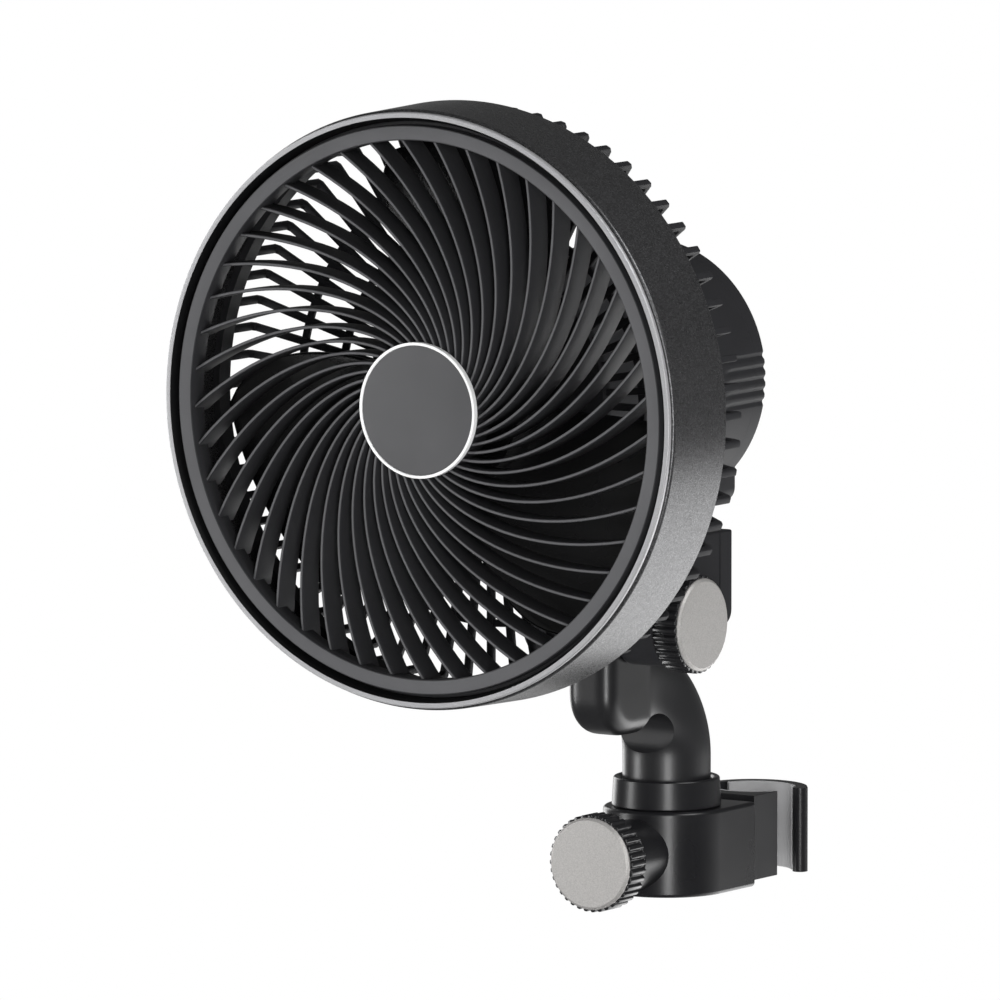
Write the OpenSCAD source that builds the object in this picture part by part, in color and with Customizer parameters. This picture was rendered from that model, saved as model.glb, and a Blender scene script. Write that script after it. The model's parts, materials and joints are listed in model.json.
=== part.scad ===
// Clip fan: a round caged fan head on a tilting yoke, a swivelling S-shaped arm and a screw clamp for a pole.
// Frame: origin on the pole's axis at mid-height of the clamp, Z up, the fan faces -Y. Millimetres.

/* [Pole clamp] */
// Diameter of the pole that the clamp holds at rest
pole_d = 26; // [24:0.5:27]
// Height of the jaws, their pads and the base block
clamp_height = 29; // [26:0.5:31]
// Thickness of the soft pads
pad_t = 1.5; // [1:0.25:2]
// Wall of the fixed hook
hook_wall = 4; // [3:0.5:4.5]
// Where the hook's free lip ends, measured from +X towards +Y
lip_angle = 24; // [18:1:30]
// Radius of the bead along the free lip
bead_r = 2.6; // [2:0.1:3]
// Solid thickness of the press jaw in front of the pole
jaw_wall = 6.5; // [5.5:0.5:7]
// Width of the press jaw
jaw_w = 26.6; // [25:0.2:27]
// How far the press jaw can draw back
jaw_travel = 11; // [6:0.5:11]
// Diameter of the two guide rods
rod_d = 5; // [4:0.5:6]
// Distance between the guide rods
rod_spread = 20; // [18:0.5:20]

/* [Base block] */
// Distance from the pole's axis to the swivel axis
post_reach = 56; // [55:0.5:60]
// Width of the base block
block_w = 43; // [42:0.5:46]
// Distance from the swivel axis back to the block's rear face
block_back = 23; // [20:0.5:23]
// Diameter of the nose that carries the clamp screw
nose_d = 24; // [20:0.5:25]
// Distance from the swivel axis forward to the nose's end
nose_reach = 33; // [31:0.5:34]

/* [Clamp screw] */
// Diameter of the clamp screw
screw_d = 8; // [7:0.5:8.5]
// Length of the brass insert
insert_len = 20; // [14:1:20]
// Distance from the nose's end to the back of the knob
knob_gap = 6; // [5.5:0.5:9]

/* [Knobs] */
// Diameter over the ridges of both knobs
knob_d = 33; // [28:0.5:34]
// Thickness of the ridged part
knob_t = 9; // [8:0.5:11]
// Number of ridges
knob_ridges = 36; // [24:2:48]
// Depth of the ridges
ridge_depth = 0.8; // [0.4:0.1:1.2]
// Thickness of the metal cap
cap_t = 1.4; // [1:0.1:2]

/* [Swivel] */
// Diameter of the arm's round post
post_d = 30; // [28:0.5:30]
// Diameter of the swivel collar at its foot
collar_d = 37.2; // [36.5:0.1:40]
// Height of the swivel collar
collar_h = 10; // [9:0.5:12]
// Diameter of the post's spigot in the block
spigot_d = 14; // [10:0.5:14]

/* [Arm] */
// Height at which the post starts to bend
bend_z = 32; // [30:0.5:34]
// Radius of the bend's centre line
bend_r = 25; // [24:0.5:26]
// Distance from the swivel axis forward to the tilt axis
column_reach = 36; // [35:0.5:38]
// Height of the tilt axis
tilt_z = 82; // [81:0.5:84]
// Thickness of the arm at the tilt eye
eye_t = 18.8; // [17:0.2:19]
// Diameter of the tilt eye
eye_d = 29.2; // [27:0.2:29.4]
// Radius of the hollow under the arm's bend
hollow_r = 8.5; // [6:0.5:9]

/* [Yoke] */
// Width of the yoke
yoke_w = 52; // [50:1:56]
// Thickness of the yoke's side plates
cheek_t = 7; // [5:0.5:7]
// Diameter of the yoke's bosses on the tilt axis
boss_d = 30; // [28:0.5:30]
// Height of the yoke's top face above the tilt axis
yoke_top = 28; // [27:0.5:29]
// Thickness of the yoke's top plate
roof_t = 12.5; // [11:0.25:12.5]
// Distance from the tilt axis back to the yoke's rear edge
yoke_back = 36; // [32:1:37]
// Diameter of the tilt bolt
tilt_bolt_d = 8; // [6:0.5:8]
// Thickness of the friction washers beside the eye
washer_t = 0.8; // [0.5:0.1:1]

/* [Fan head] */
// Outer diameter of the band at its rear edge
head_d = 200; // [196:1:206]
// Height of the fan's axis above the tilt axis
head_rise = 81; // [80:0.5:84]
// Distance from the tilt axis forward to the front face
face_reach = 121; // [120:0.5:122]
// Depth of the band
band_depth = 33; // [32:0.5:34]
// Wall of the band at its rear edge
band_wall = 2.4; // [2:0.1:3]
// Width of the satin lip
lip_w = 3; // [2.4:0.1:3.4]
// Width of the flat grey ring
flat_w = 5; // [4:0.5:7]
// Number of spiral fins
fin_count = 45; // [36:1:48]
// Thickness of a fin
fin_t = 1.1; // [0.9:0.1:1.4]
// Depth of a fin
fin_depth = 10; // [8:0.5:11]
// Radius of the badge with its ring
badge_r = 22.5; // [20:0.5:24]
// Width of the bright ring round the badge
badge_ring_w = 1; // [0.8:0.1:1.6]
// Number of rear bars
bar_count = 64; // [48:2:64]
// Thickness of a rear bar
bar_t = 2.4; // [1.8:0.1:2.6]
// Depth of a rear bar
bar_depth = 2.5; // [2:0.25:3]

/* [Impeller] */
// Number of blades
blade_count = 3; // [2:1:4]
// Gap between the blade tips and the rear bars
tip_gap = 7.4; // [6:0.1:9]
// Thickness of a blade
blade_t = 1.8; // [1.4:0.1:2.2]
// Radius of the impeller's hub
hub_r = 27; // [26.5:0.1:28]

/* [Motor barrel] */
// Diameter of the motor and battery barrel
barrel_d = 90; // [88:1:92]
// Length of the barrel without its rear cap
barrel_len = 93; // [90:0.5:95]
// Wall of the barrel
barrel_wall = 2.5; // [2:0.25:2.5]
// Thickness of the rear cap
cap_depth = 7; // [7:0.5:9]
// Width of the flat foot under the barrel
foot_w = 66; // [62:1:68]
// Distance from the fan's axis down to the foot's flat
foot_drop = 42.5; // [41:0.5:43.5]
// Number of grip grooves on each side
groove_count = 5; // [3:1:6]
// Distance between grip grooves
groove_pitch = 3.9; // [3:0.1:4.5]
// Diameter of the battery cells
cell_d = 21; // [18:0.5:21]
// Room behind the battery cells for the switch board
cell_room = 5; // [5:0.5:8]
// Diameter of the power button
button_d = 18; // [14:0.5:18]

/* [Hidden] */
$fn = 96;
cut = 0.5;          // how far a cutting tool runs past the face it opens
fit = 0.05;         // radial clearance of a running fit
seat = 0.1;         // radial clearance of a seated piece
snug = 0.02;        // radial clearance of a bearing seat
thread_r = 1.5;     // small screws: thread, clearance hole, head and key recess
thread_hole_r = 1.7;
head_r = 2.6;
key_r = 1.3;

half_h = clamp_height / 2;
pole_r = pole_d / 2;
jaw_r = pole_r + pad_t;
hook_r = jaw_r + hook_wall;
post_y = -post_reach;
block_rear = post_y + block_back;
nose_y = post_y - nose_reach;
recess_len = 20;    // hook bar's bed in the block
hook_screw_z = 8;
hook_screw_r = 2;
hook_screw_len = 9;
hook_head_t = 2.2;
hook_head_r = 3.6;
insert_wall = 2.5;
insert_r = screw_d / 2 + insert_wall;
screw_room = 0.4;   // radial room for the clamp screw behind its insert
jaw_front = -(jaw_r + jaw_wall);
knob_back_y = nose_y - knob_gap;
knob_face_y = knob_back_y - knob_t;
tip_d = screw_d - 2;
tip_len = 4;
jaw_wing = 5.5;     // how far the press jaw's wings end before the pole's axis
knob_floor = 2;     // solid part of a knob behind its cap
knob_back_edge = 1.5;
knob_front_edge = 0.8;
cap_edge = 0.9;
knob_cap_d = knob_d - 2;

post_r = post_d / 2;
flange_r = post_r + 1.6;
flange_t = 3;
spigot_len = 7.5;
collar_taper = 0.6;
thrust_t = 0.8;     // swivel washer
flange_z = half_h + thrust_t + fit;
tilt_y = post_y - column_reach;
elbow_z = bend_z + bend_r;
elbow_y = post_y - bend_r;
hollow_y = elbow_y + 4;
hollow_z = bend_z + 8;

cheek_x = yoke_w / 2;
boss_x = eye_t / 2 + washer_t + fit;
yoke_z = tilt_z + yoke_top;
roof_z = yoke_z - roof_t;
neck_w = 24;
neck_y = [tilt_y - neck_w / 2, tilt_y + neck_w / 2];
yoke_screw_y = 6;   // screws in front of and behind the tilt axis
yoke_screw_r = 2;
yoke_head_r = 3.5;
yoke_head_t = 3;
yoke_head_z = 2;    // how deep the screw heads sit in the roof
bolt_head_r = 7.5;
bolt_head_t = 5;
bolt_head_x = 1;    // how deep the bolt's head sits in the cheek
bolt_thread = 2.5;  // how far the bolt's end stays behind the knob's cap
knob_x = cheek_x + 0.8;
knob_face_x = knob_x + knob_t;

face_y = tilt_y - face_reach;
axis_z = tilt_z + head_rise;
band_r = head_d / 2;
band_in = band_r - band_wall;
lip_out = band_r - 1.6;
lip_in = lip_out - lip_w;
seat_r = lip_in - seat;
flat_out = lip_in - 1.4;
flat_in = flat_out - flat_w;
flat_front = 1.2;
groove_floor = 5;
front_back = 9;
fin_front = 3.5;
fin_back = fin_front + fin_depth;
hub_seat = fin_front - 0.3;
fin_in = badge_r - 1.5;
fin_out = flat_in + 2.5;
fin_turn = 43;      // degrees that a fin gains for each e-fold of radius
fin_steps = 10;
badge_front = 1.5;

hub_front = 19.5;
hub_wall = 3.5;
hub_back = 38;
can_r = hub_r - 2.5;
can_t = 1.5;
magnet_t = 1.4;
stator_r = can_r - can_t - magnet_t - 0.6;
shaft_r = 2.5;
bearing_r = 6.5;
bearing_w = 4;
bearing_front = hub_front + 7.5;
bearing_back = 3.5; // how far the rear bearing passes the grille's plate
tube_r = 9;
plate_front = 43.5; // front of the rear grille's middle plate
flange_front = plate_front - 3;
bar_back = plate_front + 4.5;
bar_front = bar_back - bar_depth;
bar_out = band_in - seat - 0.1;
blade_r = bar_out - bar_depth - tip_gap;
bar_skirt = 6;
bar_chamfer = 1.5;
bar_inner_chamfer = 0.8;
cross_ring_gaps = [14, 30]; // cross rings, measured out from the barrel
cross_ring_w = 2.4;
cross_ring_t = 2;
motor_screw_r = 13;
motor_head_t = 1.4;
motor_boss_r = 3.3;
motor_boss_len = 10;

barrel_r = barrel_d / 2;
barrel_back = bar_back + barrel_len;
cap_back = barrel_back + cap_depth;
cap_round = 6;
cap_wall = 3;
foot_top = -18;
foot_round = 5;
foot_cap = 3;
front_wall = 2.5;
cap_screw_r = 35;
cap_screw_angles = [40, 140, 220, 320];
cap_boss_r = 3.5;
cap_boss_len = 16;
cap_head_depth = 2.4;
cap_head_r = 2.8;
cap_head_hole_r = 3;
cap_rib_t = 3;
yoke_boss_r = 4.5;  // bosses inside the foot for the yoke's screws
yoke_boss_len = 5.5;
groove_w = 1.6;
groove_t = 0.9;
groove_len = 18;
cell_ring = 14;
cell_front = bar_back + 16.5;
cell_back = barrel_back - cell_room;
cradle_t = 2;
cradle_rim_r = 26.5;
cradle_rod_ring = cell_ring + 9;
cradle_rod_r = 2.5;
board_y = -foot_drop + 6.5;
board_t = 1.6;
board_w = 52;
board_front = 25;   // free room in front of and behind the control board
board_rear = 3;
board_post_r = 2.5;
board_post_edge = 4;
board_post_front = 30;
board_post_rear = 8;
chip_w = 10;
chip_t = 2;
socket_h = 4;
socket_w = 9.4;
socket_wall = 0.4;
socket_room = 0.3;  // hole in the cap beyond the socket, at the sides
socket_len = 11;
socket_depth = 3;
socket_tongue = [6.6, 0.8];
socket_y = board_y + board_t + socket_h / 2;
switch_board_r = 12;
switch_w = 6;
switch_t = 1;
button_flange = 2;
button_proud = 1.5;
button_stem_r = 3;
button_stem = 2.8;  // how far the button's stem reaches in from the cap's inner face
button_back = cap_back - cap_wall - seat;

black = [0.09, 0.09, 0.1];
grey = [0.42, 0.42, 0.43];
silver = [0.75, 0.75, 0.76];
steel = [0.6, 0.6, 0.62];
brass = [0.7, 0.56, 0.3];

// Basic shapes

module along_x(x) translate([x, 0, 0]) rotate([90, 0, 90]) children();
module along_y(y) translate([0, y, 0]) rotate([-90, 0, 0]) children();
module at_tilt() translate([0, tilt_y, tilt_z]) children();
module at_face() translate([0, face_y, axis_z]) rotate([90, 0, 0]) children();
function at(r, depth) = [r, -depth];

module disc(front, back, r) translate([0, 0, -back]) cylinder(r = r, h = back - front);

module tube(front, back, r_out, r_in) difference() {
  disc(front, back, r_out);
  disc(front - cut, back + cut, r_in);
}

module slab(front, back) translate([0, 0, -back]) linear_extrude(back - front) children();

module rounded_rect(w, h, r) {
  square([w - 2 * r, h], center = true);
  square([w, h - 2 * r], center = true);
  for (sx = [-1, 1], sy = [-1, 1])
    translate([sx * (w / 2 - r), sy * (h / 2 - r)]) circle(r = r);
}

module sector(r, from, to) polygon([[0, 0],
  for (i = [0:8]) let (a = from + (to - from) * i / 8) r * [cos(a), sin(a)]]);

module jaw_liner(from, to) translate([0, 0, -half_h]) linear_extrude(clamp_height) intersection() {
  difference() {
    circle(r = jaw_r);
    circle(r = pole_r);
  }
  sector(2 * jaw_r, from, to);
}

// A ridged knob from z = 0 to z = knob_t, with a blind hole from its back
module knob_body(hole_r, hole_depth) difference() {
  intersection() {
    linear_extrude(knob_t) polygon([for (i = [0:2 * knob_ridges - 1])
      let (r = knob_d / 2 - ridge_depth * (i % 2), a = i * 180 / knob_ridges) r * [cos(a), sin(a)]]);
    rotate_extrude() polygon([[0, 0], [knob_d / 2 - knob_back_edge, 0], [knob_d / 2, knob_back_edge],
      [knob_d / 2, knob_t - knob_front_edge], [knob_d / 2 - knob_front_edge, knob_t], [0, knob_t]]);
  }
  translate([0, 0, -cut]) cylinder(r = hole_r, h = hole_depth + cut);
}

module knob_cap() rotate_extrude() polygon([[0, 0], [knob_cap_d / 2, 0], [knob_cap_d / 2, cap_t - cap_edge],
  [knob_cap_d / 2 - cap_edge, cap_t], [0, cap_t]]);

// Pole clamp

module base_block() color(black) difference() {
  union() {
    translate([0, 0, -half_h]) linear_extrude(clamp_height) {
      translate([0, post_y]) circle(d = block_w);
      translate([-block_w / 2, post_y]) square([block_w, block_back]);
    }
    along_y(nose_y) cylinder(d = nose_d, h = nose_reach);
  }
  // bed of the hook's bar
  translate([-block_w / 2 - cut, block_rear - recess_len, -half_h - cut])
    cube([block_w / 2 - jaw_r + cut, recess_len + cut, clamp_height + 2 * cut]);
  along_y(nose_y - cut) cylinder(r = insert_r, h = insert_len + cut);
  along_y(nose_y) cylinder(r = screw_d / 2 + screw_room, h = nose_reach + block_back + cut);
  for (s = [-1, 1]) translate([s * rod_spread / 2, 0, 0])
    along_y(post_y - jaw_travel - 1) cylinder(d = rod_d + 2 * fit, h = block_back + jaw_travel + 1 + cut);
  translate([0, post_y, half_h - spigot_len - 0.2])
    cylinder(d = spigot_d + 2 * fit, h = spigot_len + 0.2 + cut);
  hook_screw_places() translate([0, 0, -cut]) cylinder(r = hook_screw_r, h = hook_screw_len + 1);
}

module hook_screw_places() for (s = [-1, 1])
  translate([-jaw_r, block_rear - recess_len / 2, s * hook_screw_z]) rotate([0, 90, 0]) children();

module hook() color(black) difference() {
  union() {
    translate([0, 0, -half_h]) linear_extrude(clamp_height) {
      intersection() {
        difference() {
          circle(r = hook_r);
          circle(r = jaw_r);
        }
        sector(2 * hook_r, lip_angle, 180);
      }
      translate([-hook_r, block_rear - recess_len]) square([hook_wall, recess_len - block_rear]);
      rotate(lip_angle) translate([(jaw_r + hook_r) / 2 - 0.3, 0]) circle(r = bead_r);
    }
  }
  hook_screw_places() translate([0, 0, -hook_wall - cut])
    cylinder(r = hook_screw_r + seat, h = hook_wall + 2 * cut);
}

module hook_pad() color(grey) jaw_liner(lip_angle + 12, 160);

module hook_screws() color(steel) hook_screw_places() difference() {
  union() {
    translate([0, 0, -hook_wall]) cylinder(r = hook_screw_r, h = hook_wall + hook_screw_len);
    translate([0, 0, -hook_wall - hook_head_t]) cylinder(r = hook_head_r, h = hook_head_t);
  }
  translate([0, 0, -hook_wall - hook_head_t - cut]) cylinder(r = 1.7, h = hook_head_t / 2 + cut, $fn = 6);
}

module thread_insert() color(brass) along_y(nose_y) difference() {
  cylinder(r = insert_r, h = insert_len);
  translate([0, 0, -cut]) cylinder(d = screw_d + 2 * fit, h = insert_len + 2 * cut);
}

module press_jaw() color(black) difference() {
  translate([-jaw_w / 2, jaw_front, -half_h]) cube([jaw_w, jaw_wall + jaw_r - jaw_wing, clamp_height]);
  translate([0, 0, -half_h - cut]) cylinder(r = jaw_r, h = clamp_height + 2 * cut);
  along_y(jaw_front - cut) cylinder(d = tip_d + 2 * fit, h = tip_len + 0.3 + cut);
  for (s = [-1, 1]) translate([s * rod_spread / 2, 0, 0])
    along_y(jaw_front - cut) cylinder(d = rod_d, h = jaw_wall + cut);
}

module jaw_pad() color(grey) jaw_liner(212, 328);

module guide_rods() color(steel) for (s = [-1, 1]) translate([s * rod_spread / 2, 0, 0])
  along_y(post_y) cylinder(d = rod_d, h = jaw_front + jaw_wall - post_y);

module clamp_screw() color(steel) {
  along_y(knob_face_y + knob_floor) cylinder(d = screw_d, h = jaw_front - knob_face_y - knob_floor);
  along_y(jaw_front - 1) cylinder(d = tip_d, h = tip_len + 1);
}

module clamp_knob() color(black) translate([0, knob_back_y, 0]) rotate([90, 0, 0])
  knob_body(screw_d / 2, knob_t - knob_floor);

module clamp_knob_cap() color(silver) translate([0, knob_face_y, 0]) rotate([90, 0, 0]) knob_cap();

// Swivel and arm

module swivel_collar() color(black) translate([0, post_y, half_h]) difference() {
  cylinder(r1 = collar_d / 2, r2 = collar_d / 2 - collar_taper, h = collar_h);
  translate([0, 0, -cut]) cylinder(r = post_r + 0.35, h = collar_h + 2 * cut);
  translate([0, 0, -cut]) cylinder(r = flange_r + 0.3, h = thrust_t + flange_t + 0.4 + cut);
}

module swivel_washer() color(steel) translate([0, post_y, half_h]) difference() {
  cylinder(r = flange_r - 0.4, h = thrust_t);
  translate([0, 0, -cut]) cylinder(d = spigot_d + 0.6, h = thrust_t + 2 * cut);
}

// The bend's cross-section goes from the round post to the flat eye. Its ends are sunk in their neighbours.
bend_steps = 14;
bend_sides = 40;
bend_sink = 2;
end_inset = 0.2;
function eased(u) = u * u * (3 - 2 * u);
function soft(v, p) = sign(v) * pow(abs(v), p);
function bend_point(i, k) = let (
  u = min(max((i - 1) / (bend_steps - 2), 0), 1),
  a = 90 * u,
  flat = eased(u),
  wide = post_r + (eye_t / 2 - post_r) * flat - end_inset,
  tall = post_r + (eye_d / 2 - post_r) * flat - end_inset,
  square_up = 1 - 0.45 * flat,
  t = 360 * k / bend_sides,
  out = bend_r + tall * soft(cos(t), square_up))
  [wide * soft(sin(t), square_up),
   elbow_y + out * cos(a) - (i == bend_steps ? bend_sink : 0),
   bend_z + out * sin(a) - (i == 0 ? bend_sink : 0)];

module arm_bend() polyhedron(
  points = [for (i = [0:bend_steps], k = [0:bend_sides - 1]) bend_point(i, k)],
  faces = [[for (k = [0:bend_sides - 1]) bend_sides - 1 - k],
    for (i = [0:bend_steps - 1], k = [0:bend_sides - 1]) let (m = (k + 1) % bend_sides, b = i * bend_sides)
      each [[b + k, b + bend_sides + m, b + bend_sides + k], [b + k, b + m, b + bend_sides + m]],
    [for (k = [0:bend_sides - 1]) bend_steps * bend_sides + k]]);

module arm() color(black) difference() {
  union() {
    translate([0, post_y, flange_z]) cylinder(r = flange_r, h = flange_t);
    translate([0, post_y, half_h - spigot_len]) cylinder(d = spigot_d, h = spigot_len + 1);
    translate([0, post_y, flange_z]) cylinder(r = post_r, h = bend_z - flange_z + 0.01);
    arm_bend();
    // the flat column with the tilt eye at its top, its long edges rounded
    intersection() {
      along_x(-eye_t / 2) linear_extrude(eye_t) {
        translate([tilt_y, elbow_z]) circle(d = eye_d);
        translate([tilt_y, tilt_z]) circle(d = eye_d);
        translate([tilt_y - eye_d / 2, elbow_z]) square([eye_d, tilt_z - elbow_z]);
        translate([tilt_y, elbow_z - eye_d / 2]) square([elbow_y - tilt_y + 0.01, eye_d]);
      }
      translate([0, (tilt_y - eye_d / 2 + elbow_y + eye_d) / 2, 0])
        linear_extrude(tilt_z + eye_d) rounded_rect(eye_t, elbow_y - tilt_y + 1.5 * eye_d, 4);
    }
  }
  at_tilt() along_x(-eye_t) cylinder(d = tilt_bolt_d + 2 * fit, h = 2 * eye_t);
  translate([0, hollow_y, hollow_z]) along_x(-post_d) cylinder(r = hollow_r, h = 2 * post_d);
}

module tilt_washers() color(steel) at_tilt() for (x = [-eye_t / 2 - washer_t, eye_t / 2])
  along_x(x) difference() {
    cylinder(d = eye_d - 3, h = washer_t);
    translate([0, 0, -cut]) cylinder(d = tilt_bolt_d + 0.6, h = washer_t + 2 * cut);
  }

// Yoke and tilt knob

module yoke_outline() {
  circle(d = boss_d);
  translate([-boss_d / 2, 0]) square([boss_d / 2 + yoke_back, yoke_top]);
  translate([0, 2]) rounded_rect(2 * yoke_back, 12, 5);
}

module yoke_side() intersection() {
  yoke_outline();
  translate([-boss_d / 2, -boss_d / 2]) square([boss_d / 2 + yoke_back, boss_d / 2 + yoke_top]);
}

module yoke_screw_places() for (s = [-1, 1]) translate([0, tilt_y + s * yoke_screw_y, roof_z]) children();

module yoke() color(black) difference() {
  union() {
    at_tilt() for (x = [-cheek_x, cheek_x - cheek_t]) along_x(x) linear_extrude(cheek_t) yoke_side();
    at_tilt() for (x = [-cheek_x, boss_x]) along_x(x) cylinder(d = boss_d, h = cheek_x - boss_x);
    translate([-cheek_x, tilt_y - boss_d / 2, roof_z]) cube([yoke_w, boss_d / 2 + yoke_back, roof_t]);
    translate([-neck_w / 2, neck_y[0], yoke_z - 1])
      cube([neck_w, neck_y[1] - neck_y[0], axis_z - foot_drop - yoke_z + 1]);
  }
  at_tilt() along_x(-cheek_x - cut) cylinder(d = tilt_bolt_d + 2 * seat, h = yoke_w + 2 * cut);
  at_tilt() along_x(-cheek_x - cut)
    cylinder(r = bolt_head_r + 0.2, h = bolt_head_x + bolt_head_t + cut, $fn = 6);
  yoke_screw_places() {
    translate([0, 0, -cut]) cylinder(r = yoke_head_r + 0.3, h = yoke_head_z + yoke_head_t + cut);
    cylinder(r = yoke_screw_r + 0.2, h = 40);
  }
}

module yoke_screws() color(steel) yoke_screw_places() difference() {
  union() {
    translate([0, 0, yoke_head_z]) cylinder(r = yoke_head_r, h = yoke_head_t);
    translate([0, 0, 4]) cylinder(r = yoke_screw_r, h = axis_z - foot_drop - roof_z);
  }
  translate([0, 0, yoke_head_z - cut]) cylinder(r = 1.8, h = 2 + cut, $fn = 6);
}

module tilt_bolt() color(steel) at_tilt() {
  along_x(-cheek_x + bolt_head_x) cylinder(r = bolt_head_r, h = bolt_head_t, $fn = 6);
  along_x(-cheek_x + bolt_head_t)
    cylinder(d = tilt_bolt_d, h = cheek_x - bolt_head_t + knob_face_x - bolt_thread);
}

module tilt_knob() color(black) at_tilt() along_x(knob_x)
  knob_body(tilt_bolt_d / 2 + insert_wall, knob_t - knob_floor);

module tilt_knob_insert() color(brass) at_tilt() along_x(knob_x) difference() {
  cylinder(r = tilt_bolt_d / 2 + insert_wall, h = knob_t - knob_floor);
  translate([0, 0, -cut]) cylinder(d = tilt_bolt_d + 2 * fit, h = knob_t);
}

module tilt_knob_cap() color(silver) at_tilt() along_x(knob_face_x) knob_cap();

// Fan head: band, lip and front grille

module band() color(black) at_face() rotate_extrude() polygon([at(band_in, 1.8), at(band_r - 1.4, 1.8),
  at(band_r - 0.8, 2.6), at(band_r, band_depth), at(band_in, band_depth)]);

module bezel() color(silver) at_face() rotate_extrude() polygon([at(lip_in, 0), at(lip_out - 1.2, 0),
  at(lip_out, 1), at(lip_out, 1.5), at(band_in - seat, 1.5), at(band_in - seat, front_back),
  at(lip_in, front_back)]);

function spiral(r, side) = let (
  a = fin_turn * ln(r / fin_in),
  lean = atan(fin_turn * PI / 180))
  [r * cos(a), r * sin(a)] + side * fin_t / 2 * [cos(a + lean + 90), sin(a + lean + 90)];

function fin_radius(i) = fin_in * pow(fin_out / fin_in, i / fin_steps);

module fin_shape() polygon([for (i = [0:fin_steps]) spiral(fin_radius(i), 1),
  for (i = [fin_steps:-1:0]) spiral(fin_radius(i), -1)]);

module front_grille() color(grey) at_face() {
  rotate_extrude() polygon([at(flat_in, flat_front), at(flat_out, flat_front), at(flat_out, groove_floor),
    at(seat_r, groove_floor), at(seat_r, front_back), at(flat_in, front_back)]);
  for (i = [0:fin_count - 1]) rotate(i * 360 / fin_count) slab(fin_front, fin_back) fin_shape();
  disc(hub_seat, fin_back - 2, badge_r);
}

module badge_plate() color(grey) at_face() disc(badge_front, hub_seat, badge_r - badge_ring_w - fit);

module badge_ring() color(silver) at_face()
  tube(badge_front - 0.3, hub_seat, badge_r, badge_r - badge_ring_w);

// Rear grille

module rear_bar() rotate([90, 0, 0]) translate([0, 0, -bar_t / 2]) linear_extrude(bar_t) polygon([
  at(bar_out, band_depth - 1), at(bar_out, bar_back - bar_chamfer), at(bar_out - bar_chamfer, bar_back),
  at(barrel_r - 2, bar_back), at(barrel_r - 2, bar_front),
  at(bar_out - bar_depth - bar_inner_chamfer, bar_front),
  at(bar_out - bar_depth, bar_front - bar_inner_chamfer), at(bar_out - bar_depth, band_depth - 1)]);

module rear_grille() color(black) at_face() difference() {
  union() {
    tube(band_depth - bar_skirt, band_depth, bar_out, bar_out - bar_depth);
    for (i = [0:bar_count - 1]) rotate(i * 360 / bar_count) rear_bar();
    for (gap = cross_ring_gaps) let (r = barrel_r + gap)
      tube(bar_back - cross_ring_t, bar_back, r + cross_ring_w / 2, r - cross_ring_w / 2);
    disc(plate_front, bar_back, barrel_r + 1);
  }
  disc(plate_front - cut, bar_back + cut, tube_r + seat);
  motor_screw_places() disc(plate_front - cut, bar_back + cut, thread_hole_r);
}

module motor_screw_places() for (a = [45:90:315]) rotate(a) translate([motor_screw_r, 0, 0]) children();

module grille_screws() color(steel) at_face() motor_screw_places() difference() {
  union() {
    disc(flange_front - motor_head_t, flange_front, head_r);
    disc(flange_front - motor_head_t / 2, bar_back + motor_boss_len - 2, thread_r);
  }
  translate([0, 0, -flange_front + 0.5]) cylinder(r = key_r, h = motor_head_t, $fn = 6);
}

// Motor and impeller

module bearing_tube() color(steel) at_face() difference() {
  union() {
    disc(bearing_front - 1, bar_back + bearing_back + 1, tube_r);
    disc(flange_front, plate_front, motor_screw_r + 3.4);
  }
  disc(hub_front, bar_back + bearing_back + 1 + cut, bearing_r - 1);
  disc(hub_front, bearing_front + bearing_w, bearing_r + snug);
  disc(bar_back + bearing_back - bearing_w, bar_back + bearing_back + 1 + cut, bearing_r + snug);
  motor_screw_places() disc(flange_front - cut, plate_front + cut, thread_hole_r);
}

module bearings() color(silver) at_face() {
  tube(bearing_front, bearing_front + bearing_w, bearing_r, shaft_r + snug);
  tube(bar_back + bearing_back - bearing_w, bar_back + bearing_back, bearing_r, shaft_r + snug);
}

tooth_count = 9;
tooth_w = 4.2;
coil_t = 1.3;
stator_len = 8;
stator_front = bearing_front;
stator_back = stator_front + stator_len;
pole_shoe_t = 1.6;
pole_shoe_half = 16;

module stator_core() color(steel) at_face() slab(stator_front, stator_back) {
  difference() {
    circle(r = tube_r + 3);
    circle(r = tube_r + fit);
  }
  for (i = [0:tooth_count - 1]) rotate(i * 360 / tooth_count) {
    translate([tube_r + 2, -tooth_w / 2]) square([stator_r - tube_r - 3, tooth_w]);
    intersection() {
      difference() {
        circle(r = stator_r);
        circle(r = stator_r - pole_shoe_t);
      }
      sector(2 * stator_r, -pole_shoe_half, pole_shoe_half);
    }
  }
}

module windings() color(brass) at_face() for (i = [0:tooth_count - 1]) rotate(i * 360 / tooth_count)
  difference() {
    translate([tube_r + 3.8, -tooth_w / 2 - coil_t, -stator_back - coil_t])
      cube([stator_r - tube_r - 6, tooth_w + 2 * coil_t, stator_back - stator_front + 2 * coil_t]);
    translate([tube_r, -tooth_w / 2 - fit, -stator_back - fit])
      cube([stator_r, tooth_w + 2 * fit, stator_back - stator_front + 2 * fit]);
  }

module motor_shaft() color(steel) at_face() disc(hub_front - 2.7, bar_back + 4, shaft_r);

module rotor_can() color(steel) at_face() {
  tube(hub_front + hub_wall, hub_back - 1, can_r - fit, can_r - can_t);
  tube(hub_front + hub_wall, hub_front + hub_wall + can_t, can_r - fit, shaft_r + snug);
}

module magnets() color(black) at_face()
  tube(stator_front - 1, stator_back + 1, can_r - can_t - snug, can_r - can_t - magnet_t);

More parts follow.
